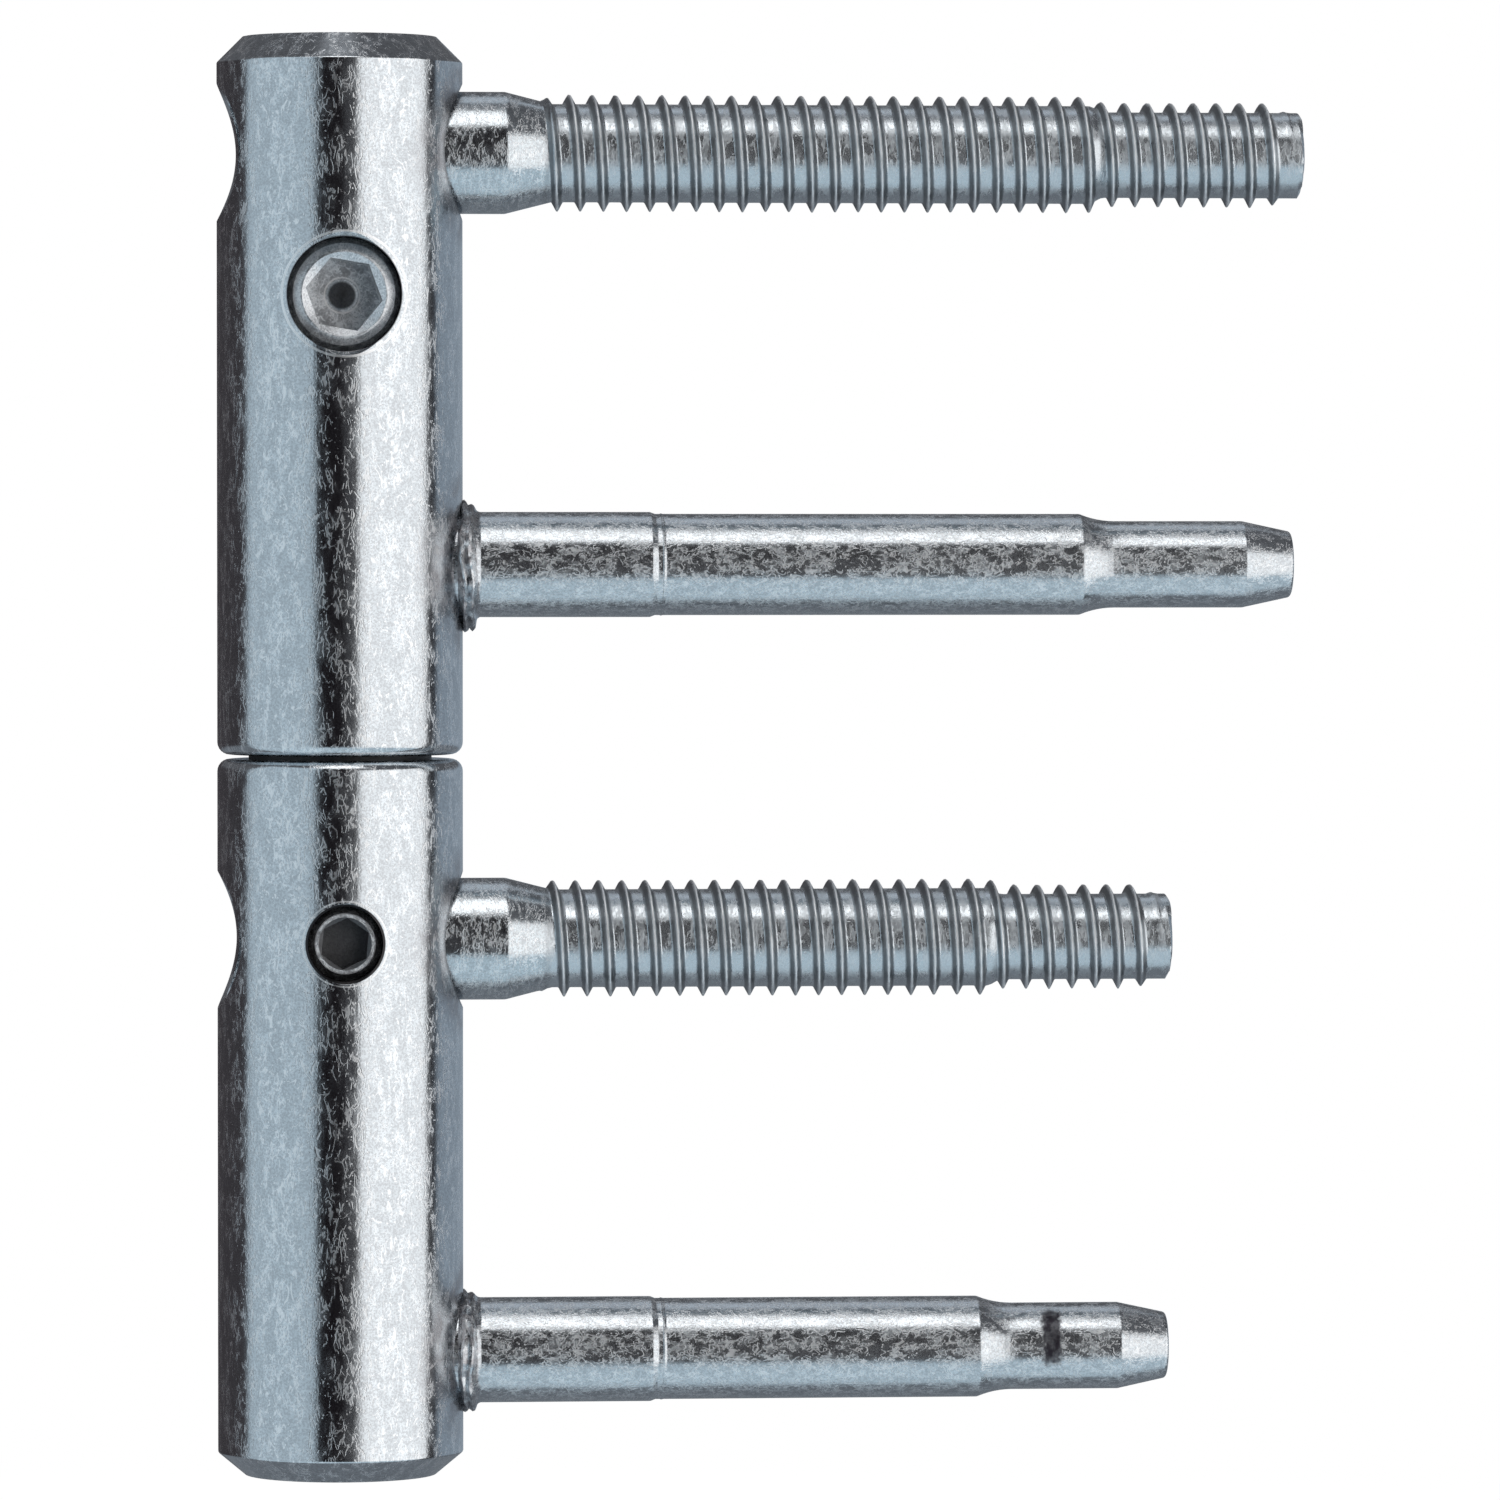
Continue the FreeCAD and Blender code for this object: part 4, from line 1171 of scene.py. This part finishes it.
def make_sky():
    """White to the camera, a plain pale dome to matt things, and soft boxes and dark gaps to metal."""
    sky = Sky()
    room = (0.055, 0.05, 0.055)
    windows = (
        ((-220, 220, 12, 80), (0.115, 0.118, 0.128)),
        ((-220, 220, 80, 95), (0.30, 0.31, 0.33)),
        ((-220, 220, -91, -14), (0.19, 0.21, 0.235)),
        ((98, 178, -12, 10), (0.31, 0.365, 0.425)),
        ((-100, -25, -50, 52), (0.53, 0.63, 0.70)),
        ((-25, 14, -28, 49), (0.010, 0.008, 0.010)),
        ((2, 11, -26, 12), (0.07, 0.07, 0.075)),
        ((15, 87, -36, 32), (1.28, 1.28, 1.28)),
        ((87, 100, -60, 60), (0.04, 0.04, 0.045)),
        ((-30, 30, 51, 84), (1.95, 1.95, 1.95)),
        ((145, 215, 50, 74), (0.55, 0.60, 0.66)),
        ((-215, -145, 50, 74), (0.55, 0.60, 0.66)),
        ((-100, 86, -86, -30), (0.58, 0.70, 0.78)),
    )
    colour = room
    for window, tone in windows:
        colour = sky.mixed(sky.window(*window), colour, tone)
    path = sky.add("LightPath")
    glossy = sky.add("Background", {}, {"Color": colour})
    matt = sky.add("Background", {}, {"Color": (0.9, 0.9, 0.9, 1.0)})
    white = sky.add("Background", {}, {"Color": (1.0, 1.0, 1.0, 1.0)})
    for_metal = sky.add("MixShader", {}, {
        0: path.outputs["Is Glossy Ray"], 1: matt.outputs[0], 2: glossy.outputs[0],
    })
    seen = sky.maths("MAXIMUM", path.outputs["Is Camera Ray"], path.outputs["Is Transmission Ray"])
    all_rays = sky.add("MixShader", {}, {0: seen, 1: for_metal.outputs[0], 2: white.outputs[0]})
    sky.add("OutputWorld", {}, {"Surface": all_rays.outputs[0]})


def make_floor(settings):
    """A pale round floor that keeps the hinge's shadow, fades to white and isn't seen from below."""
    floor = disc("floor", 96, settings.floor_radius, -settings.floor_drop)
    bpy.ops.mesh.inset(thickness=settings.floor_radius / 2)
    bpy.ops.object.mode_set(mode="OBJECT")
    floor.visible_glossy = False
    finish = Finish("floor_pale")
    finish.plug("Base Color", (0.86, 0.86, 0.86, 1.0))
    finish.plug("Roughness", 0.9)
    far = finish.add("VectorMath", {"operation": "LENGTH"}, {0: finish.place}).outputs["Value"]
    fade = finish.between(far, 0.12, 0.32)
    camera_ray = finish.add("LightPath").outputs["Is Camera Ray"]
    white = finish.add("Emission", {}, {"Color": (1.0, 1.0, 1.0, 1.0), "Strength": 1.0})
    both = finish.add("MixShader", {}, {
        0: finish.times(fade, camera_ray), 1: finish.shader.outputs[0], 2: white.outputs[0],
    })
    below = finish.add("NewGeometry").outputs["Backfacing"]
    clear = finish.add("BsdfTransparent")
    seen = finish.add("MixShader", {}, {0: below, 1: both.outputs[0], 2: clear.outputs[0]})
    output = finish.nodes["Material Output"]
    finish.links.new(seen.outputs[0], output.inputs["Surface"])
    floor.data.materials.append(finish.material)


def make_lamp(name, place, width, power):
    """A soft square lamp aimed at the middle of the hinge."""
    lamp = bpy.data.lights.new(name, "AREA")
    lamp.size = width
    lamp.energy = power
    holder = bpy.data.objects.new(name, lamp)
    bpy.context.scene.collection.objects.link(holder)
    target = Vector((0.035, 0, 0.064))
    holder.location = place
    holder.rotation_euler = (target - Vector(place)).to_track_quat("-Z", "Y").to_euler()
    holder.visible_glossy = False
    holder.visible_camera = False


class HINGE_OT_stage(bpy.types.Operator):
    """Makes the camera, the floor, the lamps and the sky"""

    bl_idname = "hinge.stage"
    bl_label = "Stage"

    def execute(self, context):
        settings = context.scene.hinge_studio
        make_sky()
        make_floor(settings)
        make_lamp("key_lamp", (-0.25, -0.45, 0.75), 0.5, 6.0)
        make_lamp("fill_lamp", (0.55, -0.35, 0.45), 0.5, 3.0)
        camera = bpy.data.cameras.new("camera")
        holder = bpy.data.objects.new("camera", camera)
        context.scene.collection.objects.link(holder)
        azimuth, elevation = settings.azimuth, settings.elevation
        back = Vector((
            math.sin(azimuth) * math.cos(elevation),
            -math.cos(azimuth) * math.cos(elevation),
            math.sin(elevation),
        ))
        aim = Vector((settings.aim_across, 0, settings.aim_height))
        holder.location = aim + back * settings.distance
        holder.rotation_euler = (-back).to_track_quat("-Z", "Y").to_euler()
        camera.lens = settings.lens
        camera.sensor_width = 36
        camera.clip_start = 0.01
        camera.clip_end = 20.0
        context.scene.camera = holder
        context.scene.view_settings.view_transform = "Standard"
        return {"FINISHED"}


STEPS = (
    HINGE_OT_barrels, HINGE_OT_shanks, HINGE_OT_studs, HINGE_OT_screws, HINGE_OT_inner_pieces, HINGE_OT_stage,
)


class HINGE_PT_panel(bpy.types.Panel):
    """Lists the steps that dress the hinge"""

    bl_idname = "HINGE_PT_panel"
    bl_label = "Hinge"
    bl_space_type = "VIEW_3D"
    bl_region_type = "UI"
    bl_category = "Hinge"

    def draw(self, context):
        for step in STEPS:
            self.layout.operator(step.bl_idname)


GROUPS = {
    "hinge_barrels": HingeBarrelSizes,
    "hinge_shanks": HingeShankSizes,
    "hinge_studs": HingeStudSizes,
    "hinge_screws": HingeScrewSizes,
    "hinge_finish": HingeFinish,
    "hinge_studio": HingeStudio,
}


def register():
    """Adds the settings, the steps and the panel."""
    for name, group in GROUPS.items():
        bpy.utils.register_class(group)
        setattr(bpy.types.Scene, name, PointerProperty(type=group))
    for step in (*STEPS, HINGE_PT_panel):
        bpy.utils.register_class(step)


def unregister():
    """Removes the panel, the steps and the settings."""
    for step in (HINGE_PT_panel, *reversed(STEPS)):
        bpy.utils.unregister_class(step)
    for name, group in GROUPS.items():
        delattr(bpy.types.Scene, name)
        bpy.utils.unregister_class(group)


def main():
    """Dresses the hinge step by step."""
    register()
    bpy.ops.hinge.barrels()
    bpy.ops.hinge.shanks()
    bpy.ops.hinge.studs()
    bpy.ops.hinge.screws()
    bpy.ops.hinge.inner_pieces()
    bpy.ops.hinge.stage()


if __name__ == "__main__":
    main()
